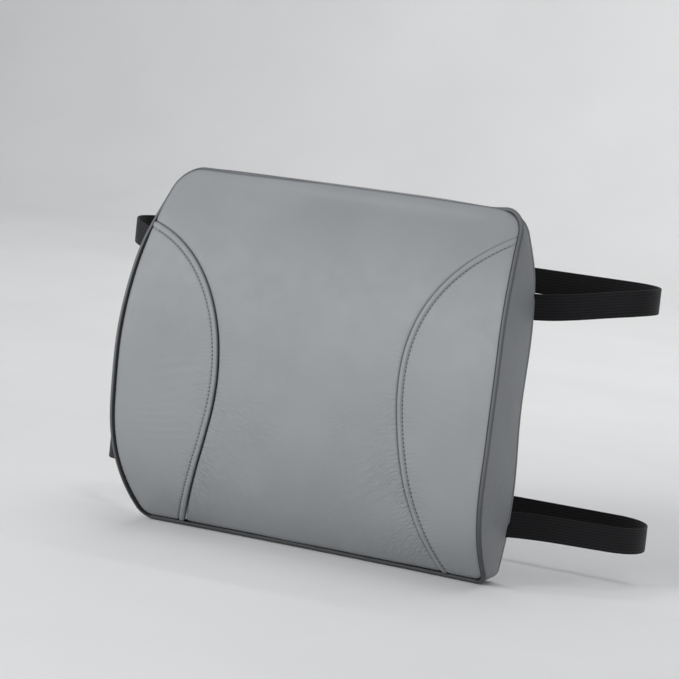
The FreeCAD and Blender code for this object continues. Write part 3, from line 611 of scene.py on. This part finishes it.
def moulded(name, color, roughness=0.42):
    material, tree, shader = new_material(name, color, roughness, Specular_IOR_Level=0.45)
    place = place_of(tree)
    stipple = noise(tree, place, 2400.0, 2.0)
    haze = noise(tree, place, 120.0, 3.0)
    gloss = span(tree, haze, 0.3, 0.7, roughness - 0.06, roughness + 0.08)
    tree.links.new(gloss, shader.inputs["Roughness"])
    lighter = tuple(min(1, c * 1.5 + 0.004) for c in color)
    tree.links.new(ramp(tree, haze, 0.35, 0.75, color, lighter), shader.inputs["Base Color"])
    bumps(tree, shader, [(stipple, 0.22, 0.00008)])
    return material


def porous(name, dark, light):
    material, tree, shader = new_material(name, light, 0.95, Subsurface_Weight=0.05)
    place = place_of(tree)
    pores = add(tree, "ShaderNodeTexVoronoi", feature="F1", Scale=1100.0)
    tree.links.new(place, pores.inputs["Vector"])
    color = ramp(tree, noise(tree, place, 40.0), 0.3, 0.7, dark, light)
    tree.links.new(color, shader.inputs["Base Color"])
    bumps(tree, shader, [(pores.outputs["Distance"], 0.6, 0.0004)])
    return material


COVER = leather("cover_leather", (0.262, 0.274, 0.284), (0.300, 0.313, 0.324), 0.52)
PIPING = leather("piping_leather", (0.125, 0.130, 0.137), (0.150, 0.156, 0.164), 0.48,
                 grain=1300.0)
paint_piping_shade(PIPING, "shown")
THREAD = woven("cover_thread", (0.20, 0.21, 0.22), (0.30, 0.31, 0.32), rib=0.5, roughness=0.6)
# near-black beads that paint the shade inside the needle holes
HOLE_SHADE = moulded("needle_holes", (0.040, 0.042, 0.045), 0.9)
BACK_MESH = knit_mesh("back_mesh", (0.010, 0.010, 0.011), (0.058, 0.060, 0.064))
WEBBING = ribbed_webbing("webbing", (0.004, 0.004, 0.005), (0.016, 0.016, 0.018))
BLACK_THREAD = woven("webbing_thread", (0.012, 0.012, 0.013), (0.03, 0.03, 0.033), rib=0.5,
                     roughness=0.55)
PLASTIC = moulded("buckle_plastic", (0.016, 0.016, 0.018))
ZIP_TAPE = woven("zip_tape", (0.035, 0.036, 0.04), (0.07, 0.072, 0.078), rib=0.7)
ZIP_TEETH = moulded("zip_teeth", (0.03, 0.031, 0.034), 0.35)
ZIP_METAL = moulded("zip_metal", (0.05, 0.052, 0.056), 0.32)
LINER = woven("liner_fabric", (0.60, 0.60, 0.58), (0.78, 0.78, 0.76), rib=1.0, roughness=0.9)
FOAM = porous("foam", (0.70, 0.66, 0.54), (0.82, 0.78, 0.66))
CORD = woven("piping_cord", (0.6, 0.59, 0.55), (0.78, 0.77, 0.72), rib=1.6, roughness=0.9)


# ---------------------------------------------------------------- front panels
def front_panel(name, panel, rows, cols):
    """One panel of the front, with its edges turned in where it is sewn."""
    share = eased(rows, 0.35)
    if panel == 0:
        z = BOTTOM + EDGE_INSET + share * (HEIGHT - 2 * EDGE_INSET)
        outer = edge_half(z) - EDGE_INSET
        low, high = -np.minimum(seam_half(z, -1), outer), np.minimum(seam_half(z, 1), outer)
        head = SEAM_POLES[-1][-1][1], SEAM_POLES[1][-1][1]
        low = np.where(z < BOTTOM + head[0], low, -outer)
        high = np.where(z < BOTTOM + head[1], high, outer)
    else:
        z = np.linspace(BOTTOM + EDGE_INSET, TOP - EDGE_INSET, 4000)
        head = z[seam_half(z, panel) < edge_half(z) - EDGE_INSET - 0.2][-1]
        z = BOTTOM + EDGE_INSET + share * (head - BOTTOM - EDGE_INSET)
        low, high = seam_half(z, panel), edge_half(z) - EDGE_INSET
        if panel < 0:
            low, high = -low, -high
    x = low[:, None] + (high - low)[:, None] * eased(cols, 0.55)[None, :]
    z = np.repeat(z[:, None], cols, 1)
    x, z = np.pad(x, 1, mode="edge"), np.pad(crowned(x, z), 1, mode="edge")
    height = relief(x, z, panel)
    turned_in = np.ones_like(height)
    turned_in[1:-1, 1:-1] = 0
    points = on_face(x, z, height - TURN_IN * turned_in).reshape(-1, 3)
    thing = make_mesh(name, points, grid_faces(rows + 2, cols + 2, flip=panel < 0), COVER)
    # painted shade in the seams' creases, stored per point for the leather
    crease_shade, drag = seam_shade_and_drag(x, z, panel)
    give_shade(thing, "crease_shade", crease_shade)
    give_floats(thing, "drag", drag.reshape(-1, 3))
    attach(thing, "cushion")
    return thing


def make_front():
    sizes = {"front_left_panel": (-1, 330, 84), "front_right_panel": (1, 330, 84),
             "front_centre_panel": (0, 360, 190)}
    for node, (panel, rows, cols) in sizes.items():
        thing = front_panel(node.replace("front", "cover_front"), panel, rows, cols)
        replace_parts(thing, node)


def bead(start, end, up, radius, flat=0.7, rings=6, sides=8):
    """Points and faces of one short rounded stitch from start to end."""
    axis = end - start
    length = np.linalg.norm(axis)
    axis = axis / length
    side = np.cross(axis, up)
    side = side / np.linalg.norm(side)
    top = np.cross(side, axis)
    turn = np.linspace(0, 2 * np.pi, sides, endpoint=False)
    points = []
    for share in np.linspace(0, 1, rings):
        swell = math.sqrt(max(1 - (2 * share - 1) ** 4, 0.02))
        ring = np.cos(turn)[:, None] * side + flat * np.sin(turn)[:, None] * top
        points.append(start + axis * length * share + ring * radius * swell)
    faces = [tuple(f) for f in grid_faces(rings, sides, wrap=True)]
    faces.append(tuple(range(sides))[::-1])
    faces.append(tuple(range((rings - 1) * sides, rings * sides)))
    return np.concatenate(points), faces


def many_beads(name, beads, material):
    """One object from a list of (start, end, up, radius, flat)."""
    points, faces, count = [], [], 0
    for start, end, up, radius, flat in beads:
        some, shape = bead(start, end, up, radius, flat)
        points.append(some)
        faces += [tuple(i + count for i in face) for face in shape]
        count += len(some)
    return make_mesh(name, np.concatenate(points), faces, material)


def make_topstitch():
    """A row of stitches beside each front seam, with a dark bead of painted shade for a needle hole
    between each two.
    """
    for side, word in ((-1, "left"), (1, "right")):
        tangent = np.gradient(SEAMS[side], axis=0)
        tangent /= np.linalg.norm(tangent, axis=1, keepdims=True)
        line = SEAMS[side] + STITCH_OFFSET * np.stack([tangent[:, 1], -tangent[:, 0]], 1)
        outer = edge_half(np.clip(line[:, 1], BOTTOM, TOP)) - 3.5
        line = line[(line[:, 1] > BOTTOM + 1.5) & (line[:, 0] < outer)]
        along = lengths(line)
        marks = np.arange(1.0, along[-1] - 1.0, STITCH_PITCH)
        x, z = side * np.interp(marks, along, line[:, 0]), np.interp(marks, along, line[:, 1])
        middle = on_face(x, z, relief(x, z, side) + STITCH_LIFT)
        normal = face_normal(x, z)
        stitches, holes = [], []
        for i in range(len(marks) - 1):
            gap = middle[i + 1] - middle[i]
            free = gap * STITCH_GAP
            stitches.append((middle[i] + free, middle[i + 1] - free, normal[i], 0.42, 0.6))
            # each needle hole is a dark bead of painted shade
            hole = middle[i] + normal[i] * HOLE_SHADE_LIFT
            width = 0.78 - 0.34 * smooth((z[i] - BOTTOM - 190) / 90) - (0.10 if side > 0 else 0.0)
            holes.append((hole - gap * 0.27, hole + gap * 0.27, normal[i], width, 0.5))
        for name, beads, material in (("topstitch_", stitches, THREAD),
                                      ("needle_holes_", holes, HOLE_SHADE)):
            thing = many_beads(name + word, beads, material)
            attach(thing, "cushion")


# ---------------------------------------------------------------- gussets and back
def between(low_x, high_x, low_z, high_z):
    """Indices of the outline's points in a box, in order along the outline."""
    x, z = OUTLINE[:, 0], OUTLINE[:, 1]
    inside = (x >= low_x) & (x <= high_x) & (z >= low_z) & (z <= high_z)
    index = np.flatnonzero(inside)
    jump = np.flatnonzero(np.diff(index) > 1)
    if len(jump):
        index = np.concatenate([index[jump[0] + 1:], index[:jump[0] + 1]])
    return index


def gusset(name, index, front=None, rear=None, columns=30):
    """A strip of the side wall, from the piping or from y = front to the rear seam or y = rear."""
    x, z = OUTLINE[index, 0], OUTLINE[index, 1]
    start = -face_depth(x, z) + GUSSET_LAP if front is None else np.full(len(index), front)
    end = np.maximum(rear_edge(x, z), start + 1.2) if rear is None else np.full(len(index), rear)
    share = eased(columns, 0.5)
    y = start[:, None] + (end - start)[:, None] * share
    width = (end - start)[:, None]
    from_front = y - start[:, None]
    from_rear = end[:, None] - y
    swell = GUSSET_BULGE * smooth(width / 40)
    off = -0.3 + swell * np.sin(np.pi * share)[None, :] ** 0.8
    along = index[:, None] * EDGE_STEP + 0 * y
    lower = smooth((30 - z) / 90)[:, None]
    gathers = np.sin(2 * np.pi * along / GUSSET_GATHER_PITCH + 1.6 * ripple(along, 0 * along, 37, 21))
    off = off + 0.42 * lower * gathers * np.exp(-from_front / 9)
    off = off + 0.35 * ripple(along, y, 60, 22) * np.sin(np.pi * share)[None, :]
    lip = smooth(width / 12)
    off = off + lip * 0.75 * np.exp(-((from_rear - LIP_WIDTH / 2) / (LIP_WIDTH / 2.4)) ** 2)
    off = off - lip * 0.55 * np.exp(-((from_rear - LIP_GROOVE) / 0.8) ** 2)
    points = np.stack([x[:, None] + OUTLINE_NORMAL[index, 0][:, None] * off, y,
                       z[:, None] + OUTLINE_NORMAL[index, 1][:, None] * off], -1)
    thing = make_mesh(name, points.reshape(-1, 3), grid_faces(len(index), columns), COVER)
    # painted shade along the front edge at the piping and in the groove of the rear lip
    crease_shade = np.maximum(np.exp(-((from_front - 1.2) / 1.6) ** 2),
                        0.5 * np.exp(-((from_rear - LIP_GROOVE) / 0.6) ** 2))
    give_shade(thing, "crease_shade", crease_shade)
    pulled = smooth((0 - z[:, None]) / 110) * (0.25 + 0.75 * np.exp(-from_front / 13))
    drag = np.stack([from_front / 11.0, (along - 0.9 * from_front) / 2.6, pulled + 0 * y], -1)
    give_floats(thing, "drag", drag.reshape(-1, 3))
    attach(thing, "cushion")
    return thing


def make_gussets():
    corner_low = BOTTOM_HALF - BOTTOM_CORNER
    corner_high = TOP_HALF - TOP_CORNER
    far = 2 * HEIGHT
    side = {"right": between(0, far, BOTTOM + 0.01, far),
            "left": between(-far, 0, BOTTOM + 0.01, far)}
    for word, index in side.items():
        x, z = OUTLINE[index, 0], OUTLINE[index, 1]
        index = index[(np.abs(x) > corner_high) | (z < 0)]
        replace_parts(gusset("cover_side_gusset_" + word, index), "side_gusset_" + word)
    top = between(-corner_high - 1.5, corner_high + 1.5, 0, far)
    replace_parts(gusset("cover_top_gusset", top, columns=18), "top_gusset")
    base = between(-corner_low - 1.5, corner_low + 1.5, -far, BOTTOM + 0.5)
    low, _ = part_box("bottom_gusset_rear")
    _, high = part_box("bottom_gusset_front")
    strip = gusset("cover_bottom_gusset_front", base, rear=high.y / MM, columns=18)
    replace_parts(strip, "bottom_gusset_front")
    strip = gusset("cover_bottom_gusset_rear", base, front=low.y / MM, columns=18)
    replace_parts(strip, "bottom_gusset_rear")


def sheet_places(rows, cols, inset):
    """X and Z of a grid that fills the outline, inset from it."""
    z = BOTTOM + inset + eased(rows, 0.45) * (HEIGHT - 2 * inset)
    reach = edge_half(np.clip(z, BOTTOM + 0.01, TOP - 0.01)) - inset
    x = (2 * eased(cols, 0.45) - 1)[None, :] * reach[:, None]
    return x, crowned(x, np.repeat(z[:, None], cols, 1))


def back_sheet(rows, cols, inset, sink):
    """Points of the back: flat where it rests, rounding forward to the rear seam."""
    x, z = sheet_places(rows, cols, inset)
    index, to_edge = nearest(OUTLINE_TREE, x, z)
    edge_y = rear_edge(OUTLINE[index, 0], OUTLINE[index, 1])
    front_y = -face_depth(x, z)
    y = np.minimum(edge_y, -0.4) * np.exp(-(to_edge / 22) ** 1.5) - sink
    y = np.maximum(y, front_y + 1.0)
    return np.stack([x, y, z], -1)


def make_back():
    rows, cols = 200, 220
    points = back_sheet(rows, cols, 0.2, 0.0)
    faces = grid_faces(rows, cols, flip=True)
    thing = make_mesh("back_mesh_panel", points.reshape(-1, 3), faces, BACK_MESH)
    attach(thing, "cushion")
    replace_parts(thing, "back_panel")


def closed_pad(name, inset, depth, material):
    """A closed form that fills the cover, inset from its outline and depth below its face."""
    rows, cols = 120, 140
    x, z = sheet_places(rows, cols, inset)
    front = on_face(x, z, np.full_like(x, -depth))
    front[..., 0], front[..., 2] = x, z
    back = back_sheet(rows, cols, inset, depth)
    back[..., 1] = np.maximum(back[..., 1], front[..., 1] + 1.5)
    points = np.concatenate([front.reshape(-1, 3), back.reshape(-1, 3)])
    start = rows * cols
    faces = [grid_faces(rows, cols), grid_faces(rows, cols, start, flip=True)]
    numbers = np.arange(start).reshape(rows, cols)
    rim = np.concatenate([numbers[0, :-1], numbers[:-1, -1], numbers[-1, :0:-1], numbers[:0:-1, 0]])
    after = np.roll(rim, -1)
    faces.append(np.stack([after, rim, rim + start, after + start], 1))
    thing = make_mesh(name, points, np.concatenate(faces), material)
    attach(thing, "cushion")
    return thing


def make_filling():
    core = closed_pad("moulded_foam_core", inset=5.5, depth=3.2, material=FOAM)
    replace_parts(core, "foam_core")
    liner = closed_pad("foam_liner", inset=4.6, depth=2.4, material=LINER)
    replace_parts(liner, "foam_liner_front", "foam_liner_back")


# ---------------------------------------------------------------- tubes: piping and its cord
def tube(name, path, radius, material, ribs, sides=14):
    """A round tube along a closed 3-D path in millimetres."""
    tangent = np.roll(path, -1, 0) - np.roll(path, 1, 0)
    tangent /= np.linalg.norm(tangent, axis=1, keepdims=True)
    up = np.cross(tangent, np.array([0, 1.0, 0]))
    up /= np.linalg.norm(up, axis=1, keepdims=True)
    over = np.cross(up, tangent)
    turn = np.linspace(0, 2 * np.pi, sides, endpoint=False)
    along = np.arange(len(path)) * EDGE_STEP
    phase = 2 * np.pi * along / PIPING_RIB_PITCH + 2 * ripple(along, 0 * along, 29, 31)
    size = radius * (1 + ribs * np.sin(phase))
    ring = np.cos(turn)[None, :, None] * up[:, None] + np.sin(turn)[None, :, None] * over[:, None]
    points = path[:, None] + ring * size[:, None, None]
    count = len(path)
    i, j = np.meshgrid(np.arange(count), np.arange(sides), indexing="ij")
    a, b = i * sides + j, i * sides + (j + 1) % sides
    c, d = (i + 1) % count * sides + (j + 1) % sides, (i + 1) % count * sides + j
    faces = np.stack([a, b, c, d], -1).reshape(-1, 4)
    thing = make_mesh(name, points.reshape(-1, 3), faces, material)
    # how squarely each point faces outwards and frontwards, where the piping shows; the piping's
    # leather gets painted shade where it faces away, into the grooves
    shown = np.array([1.0, -1.0]) / math.sqrt(2)
    outwards = np.sign(np.einsum("ij,ij->i", up[:, ::2], OUTLINE_NORMAL))
    frontward = np.sign(over[:, 1])
    facing = shown[0] * np.cos(turn) * outwards[:, None]
    facing = facing + shown[1] * np.sin(turn) * frontward[:, None]
    give_shade(thing, "shown", facing)
    return thing


def make_piping():
    x, z = OUTLINE[:, 0], OUTLINE[:, 1]
    along = np.arange(len(x)) * EDGE_STEP
    wander = 0.25 * ripple(along, 0 * along, 90, 33)
    rolled = crest(x, z)
    off = wander - PIPING_SINK_IN * rolled
    path = np.stack([x + OUTLINE_NORMAL[:, 0] * off, -face_depth(x, z) + PIPING_SINK_BACK * rolled,
                     z + OUTLINE_NORMAL[:, 1] * off], 1)
    cover = tube("front_piping", path, PIPING_RADIUS, PIPING, ribs=0.018)
    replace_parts(cover, "front_piping_cover")
    cord = tube("front_piping_filler", path, CORD_RADIUS, CORD, ribs=0.05)
    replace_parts(cord, "front_piping_cord")
    for thing in (cover, cord):
        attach(thing, "cushion")


# ---------------------------------------------------------------- straps
def strap_profile():
    """Half-thickness at each place across the webbing: fine lengthwise ribs and rounded edges."""
    across = np.linspace(-WEBBING_WIDTH / 2, WEBBING_WIDTH / 2, 91)
    edge = np.clip((WEBBING_WIDTH / 2 - np.abs(across)) / 1.0, 0, 1)
    half = WEBBING_THICKNESS / 2 * np.sqrt(1 - (1 - edge) ** 2) + 0.02
    return across, half + 0.07 * np.cos(2 * np.pi * across / RIB_PITCH) * edge


def strap_path(height, side_run, rise):
    """Right half's centre line in plan, from inside the seam to x = 0 behind, with its z and length."""
    root_z = BOTTOM + height
    root = np.array([side_half(root_z) - 1.6, -4.5])
    out = np.array([math.cos(STRAP_SWEEP), math.sin(STRAP_SWEEP)])
    left = np.array([-out[1], out[0]])
    run = root + np.linspace(0, side_run + 1.9, 60)[:, None] * out
    centre = run[-1] + left * BEND_RADIUS
    angle = np.linspace(STRAP_SWEEP - np.pi / 2, np.pi / 2, 75)[1:]
    bend = centre + BEND_RADIUS * np.stack([np.cos(angle), np.sin(angle)], 1)
    rear_x = np.linspace(bend[-1, 0], 0, 150)[1:]
    rear = np.stack([rear_x, np.full(len(rear_x), bend[-1, 1])], 1)
    plan = np.concatenate([run, bend, rear])
    along = lengths(plan)
    z = root_z + rise * smooth(along / (side_run * 1.5))
    return plan, z, along


def band(name, plan, z, along, mirror=False):
    """Ribbed webbing along a plan line, upright, with its length stored for the weave."""
    across, half = strap_profile()
    if mirror:
        plan = plan * np.array([-1, 1])
    tangent = np.gradient(plan, axis=0)
    tangent /= np.linalg.norm(tangent, axis=1, keepdims=True)
    normal = np.stack([-tangent[:, 1], tangent[:, 0]], 1)
    loop_across = np.concatenate([across, across[::-1]])
    loop_half = np.concatenate([half, -half[::-1]])
    count = len(loop_across)
    points = np.zeros((len(plan), count, 3))
    points[..., :2] = plan[:, None] + normal[:, None] * loop_half[None, :, None]
    points[..., 2] = z[:, None] + loop_across[None, :]
    faces = grid_faces(len(plan), count, wrap=True, flip=not mirror)
    ends = [list(range(count)), list(range((len(plan) - 1) * count, len(plan) * count))[::-1]]
    if mirror:
        ends = [end[::-1] for end in ends]
    thing = make_mesh(name, points.reshape(-1, 3), faces.tolist() + ends, WEBBING)
    stored = np.zeros((len(plan), count, 3))
    stored[..., 0] = along[:, None] * MM
    stored[..., 1] = loop_across[None, :] * MM
    give_floats(thing, "band", stored.reshape(-1, 3))
    return thing


def arc_points(centre, radius, start, end):
    turn = np.linspace(start, end, TURN_STEPS)
    return np.array(centre) + radius * np.stack([np.cos(turn), np.sin(turn)], 1)


def line_points(start, end, step=1.5):
    count = max(int(math.dist(start, end) / step), 2)
    return np.linspace(start, end, count + 1)


def joined(*runs):
    """Plan lines one after another, each after the first without its first point."""
    return np.concatenate([runs[0]] + [run[1:] for run in runs[1:]])


def box_stitch(name, x0, x1, y, z, body, face=1):
    """A sewn box with a cross, on the webbing's face at y."""
    high = WEBBING_WIDTH / 2 - 3.0
    corners = [(x0, z - high), (x1, z - high), (x1, z + high), (x0, z + high)]
    lines = list(zip(corners, corners[1:] + corners[:1]))
    lines += [(corners[0], corners[2]), (corners[1], corners[3])]
    beads = []
    up = np.array([0.0, face, 0.0])
    for a, b in lines:
        marks = line_points(np.array(a), np.array(b), 2.6)
        for p, q in zip(marks, marks[1:]):
            p3, q3 = np.array([p[0], y, p[1]]), np.array([q[0], y, q[1]])
            gap = q3 - p3
            beads.append((p3 + gap * 0.1, q3 - gap * 0.1, up, 0.34, 0.8))
    thing = many_beads(name, beads, BLACK_THREAD)
    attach(thing, body)
    return thing


def make_strap(name, height, side_run, rise):
    plan, z, along = strap_path(height, side_run, rise)
    rear_y, rear_z = plan[-1, 1], z[-1]

    # right half: to the socket's bar, round it, and sewn back on itself
    keep = (along < side_run + 30) | (plan[:, 0] > BAR_AT + 1)
    near_y = rear_y - 2 * BAR_TURN
    settled = near_y + 2 * BAR_TURN - WEBBING_THICKNESS - 0.25
    turn = arc_points((BAR_AT, rear_y - BAR_TURN), BAR_TURN, np.pi / 2, 3 * np.pi / 2)
    tail = joined(line_points((BAR_AT + 4, near_y + 0.3), (BAR_AT + 10, settled - 0.6)),
                  line_points((BAR_AT + 13, settled), (BAR_AT + 32, settled)))
    right = joined(plan[keep], turn, tail)
    heights = np.concatenate([z[keep], np.full(len(right) - keep.sum(), rear_z)])
    piece = band(name + "_strap_fixed", right, heights, lengths(right))
    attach(piece, "cushion")
    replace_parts(piece, name + "_strap_right")
    box_stitch(name + "_fixed_box_stitch", BAR_AT + 15, BAR_AT + 30, rear_y + BOX_STITCH_LIFT, rear_z,
               "cushion")

    # left half: through the adjuster, round the plug's bar, and back as far as the loop's middle
    mirrored_turn = arc_points((-BAR_AT, rear_y - BAR_TURN), BAR_TURN, np.pi / 2, -np.pi / 2)
    centre_y = rear_y - WEBBING_THICKNESS - 0.3 - CENTRE_BAR_TURN
    far_y = centre_y - CENTRE_BAR_TURN
    main = np.vstack([plan[keep], [BAR_AT + 1, rear_y]])
    heights = np.append(z[keep], rear_z)
    piece = band(name + "_strap_adjustable", main, heights, lengths(main), mirror=True)
    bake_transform(piece)
    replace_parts(piece, name + "_strap_left")
    back = joined(np.array([[-BAR_AT - 1, rear_y]]), mirrored_turn,
                  line_points((-BAR_AT - 3, near_y), (LOOP_MIDDLE, far_y)))
    piece = band(name + "_strap_plug_turn", back, np.full(len(back), rear_z),
                 lengths(back) + lengths(main)[-1])
    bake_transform(piece)

    # the rest of the loop: on to the adjuster's centre bar and sewn back
    wrap = arc_points((ADJUSTER_AT, centre_y), CENTRE_BAR_TURN, -np.pi / 2, -3 * np.pi / 2)
    inner_y = centre_y + CENTRE_BAR_TURN
    over_y = far_y + WEBBING_THICKNESS
    rest = joined(line_points((LOOP_MIDDLE, far_y), (ADJUSTER_AT, far_y)), wrap,
                  line_points((ADJUSTER_AT + 1.5, inner_y), (ADJUSTER_AT + 9, over_y + 0.9)),
                  line_points((ADJUSTER_AT + 11, over_y + 0.3), (ADJUSTER_AT + 22, over_y + 0.25)))
    piece = band(name + "_strap_return", rest, np.full(len(rest), rear_z), lengths(rest) + 3)
    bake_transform(piece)
    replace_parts(piece, name + "_strap_loop")
    box_stitch(name + "_return_box_stitch", ADJUSTER_AT + 11, ADJUSTER_AT + 21, far_y - BOX_STITCH_LIFT,
               rear_z, name + "_adjuster_body", face=-1)


# ---------------------------------------------------------------- CAD nodes that stay
def finish_node(node, material, bevel=None):
    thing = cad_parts[node]
    thing.data.materials.clear()
    thing.data.materials.append(material)
    if bevel:
        edges = thing.modifiers.new("softened_edges", "BEVEL")
        edges.width = bevel * MM
        edges.segments = 2
        edges.limit_method = "ANGLE"
        edges.angle_limit = math.radians(40)
        edges.use_clamp_overlap = True


def make_hardware():
    for strap in STRAPS:
        for word in ("adjuster", "buckle_socket", "buckle_plug", "prong_top", "prong_bottom"):
            finish_node(strap + "_" + word, PLASTIC, 0.35)
    for node in ("zip_tape_front", "zip_tape_rear"):
        finish_node(node, ZIP_TAPE)
    for node in ("zip_teeth_front", "zip_teeth_rear"):
        finish_node(node, ZIP_TEETH)
    for node in ("zip_slider", "zip_pull", "zip_stops"):
        finish_node(node, ZIP_METAL, 0.15)


# ---------------------------------------------------------------- studio
def make_stage():
    material, tree, shader = new_material("studio_floor", (0.88, 0.88, 0.875), 0.75,
                                          Specular_IOR_Level=0.2)
    soft = noise(tree, place_of(tree), 3.0, 3.0)
    color = ramp(tree, soft, 0.3, 0.7, (0.86, 0.86, 0.855), (0.90, 0.90, 0.895))
    tree.links.new(color, shader.inputs["Base Color"])
    floor_z = CAD_BOX[0][2] / MM
    wide, near, far, high, bend = 9000.0, -7000.0, 3900.0, 6000.0, 900.0
    turn = np.linspace(0, np.pi / 2, 24)
    y = np.concatenate([[near], far - bend + bend * np.sin(turn), [far]])
    z = np.concatenate([[floor_z], floor_z + bend - bend * np.cos(turn), [floor_z + high]])
    points = np.stack([np.stack([np.full_like(y, side * wide), y, z], 1) for side in (-1, 1)], 0)
    floor = make_mesh("studio_sweep", points.reshape(-1, 3), grid_faces(2, len(y)), material)


def area_light(name, place, target, size, power, color=(1, 1, 1)):
    light = bpy.data.lights.new(name, "AREA")
    light.shape = "RECTANGLE"
    light.size, light.size_y = size
    light.energy = power
    light.color = color
    thing = bpy.data.objects.new(name, light)
    bpy.context.scene.collection.objects.link(thing)
    thing.location = place
    aim = (Vector(target) - Vector(place)).to_track_quat("-Z", "Y")
    thing.rotation_euler = aim.to_euler()


def make_lights():
    middle = (0, -0.03, 0.0)
    area_light("key", (-1.05, -2.55, 1.15), middle, (1.6, 1.6), 54)
    area_light("fill", (1.9, -2.6, 0.7), middle, (2.2, 1.8), 3)
    area_light("top", (0.2, 0.3, 2.4), middle, (2.4, 1.6), 13)
    area_light("backdrop", (0, 1.5, 2.7), (0, 3.9, 0.7), (3.2, 0.8), 45)
    world = bpy.data.worlds.new("studio")
    world.use_nodes = True
    world.node_tree.nodes["Background"].inputs["Color"].default_value = (0.93, 0.95, 1.0, 1)
    world.node_tree.nodes["Background"].inputs["Strength"].default_value = 0.29
    bpy.context.scene.world = world
    bpy.context.scene.view_settings.view_transform = "Standard"


CAMERA_TURN = math.radians(26.05)
CAMERA_RISE = math.radians(6.45)
CAMERA_ROLL = math.radians(6.04)
CAMERA_DISTANCE = 2.680
CAMERA_AIM = (0.013, -0.036, 0.0316)
CAMERA_SENSOR = 36.0
CAMERA_LENS = 4.131075 * CAMERA_SENSOR   # a long lens, 4.1 times the picture's width


def make_camera():
    back = Vector((math.sin(CAMERA_TURN) * math.cos(CAMERA_RISE),
                   -math.cos(CAMERA_TURN) * math.cos(CAMERA_RISE), math.sin(CAMERA_RISE)))
    right = (-back).cross(Vector((0, 0, 1))).normalized()
    up = right.cross(-back)
    tilted_right = right * math.cos(CAMERA_ROLL) + up * math.sin(CAMERA_ROLL)
    tilted_up = up * math.cos(CAMERA_ROLL) - right * math.sin(CAMERA_ROLL)
    data = bpy.data.cameras.new("camera")
    data.sensor_width = CAMERA_SENSOR
    data.lens = CAMERA_LENS
    data.clip_end = 50
    camera = bpy.data.objects.new("camera", data)
    bpy.context.scene.collection.objects.link(camera)
    turn = Matrix((tilted_right, tilted_up, back)).transposed()
    place = Matrix.Translation(Vector(CAMERA_AIM) + back * CAMERA_DISTANCE)
    camera.matrix_world = place @ turn.to_4x4()
    bpy.context.scene.camera = camera


make_front()
make_topstitch()
make_gussets()
make_back()
make_filling()
make_piping()
for strap_name, (strap_height, strap_run, strap_rise) in STRAPS.items():
    make_strap(strap_name, strap_height, strap_run, strap_rise)
make_hardware()
make_stage()
make_lights()
make_camera()
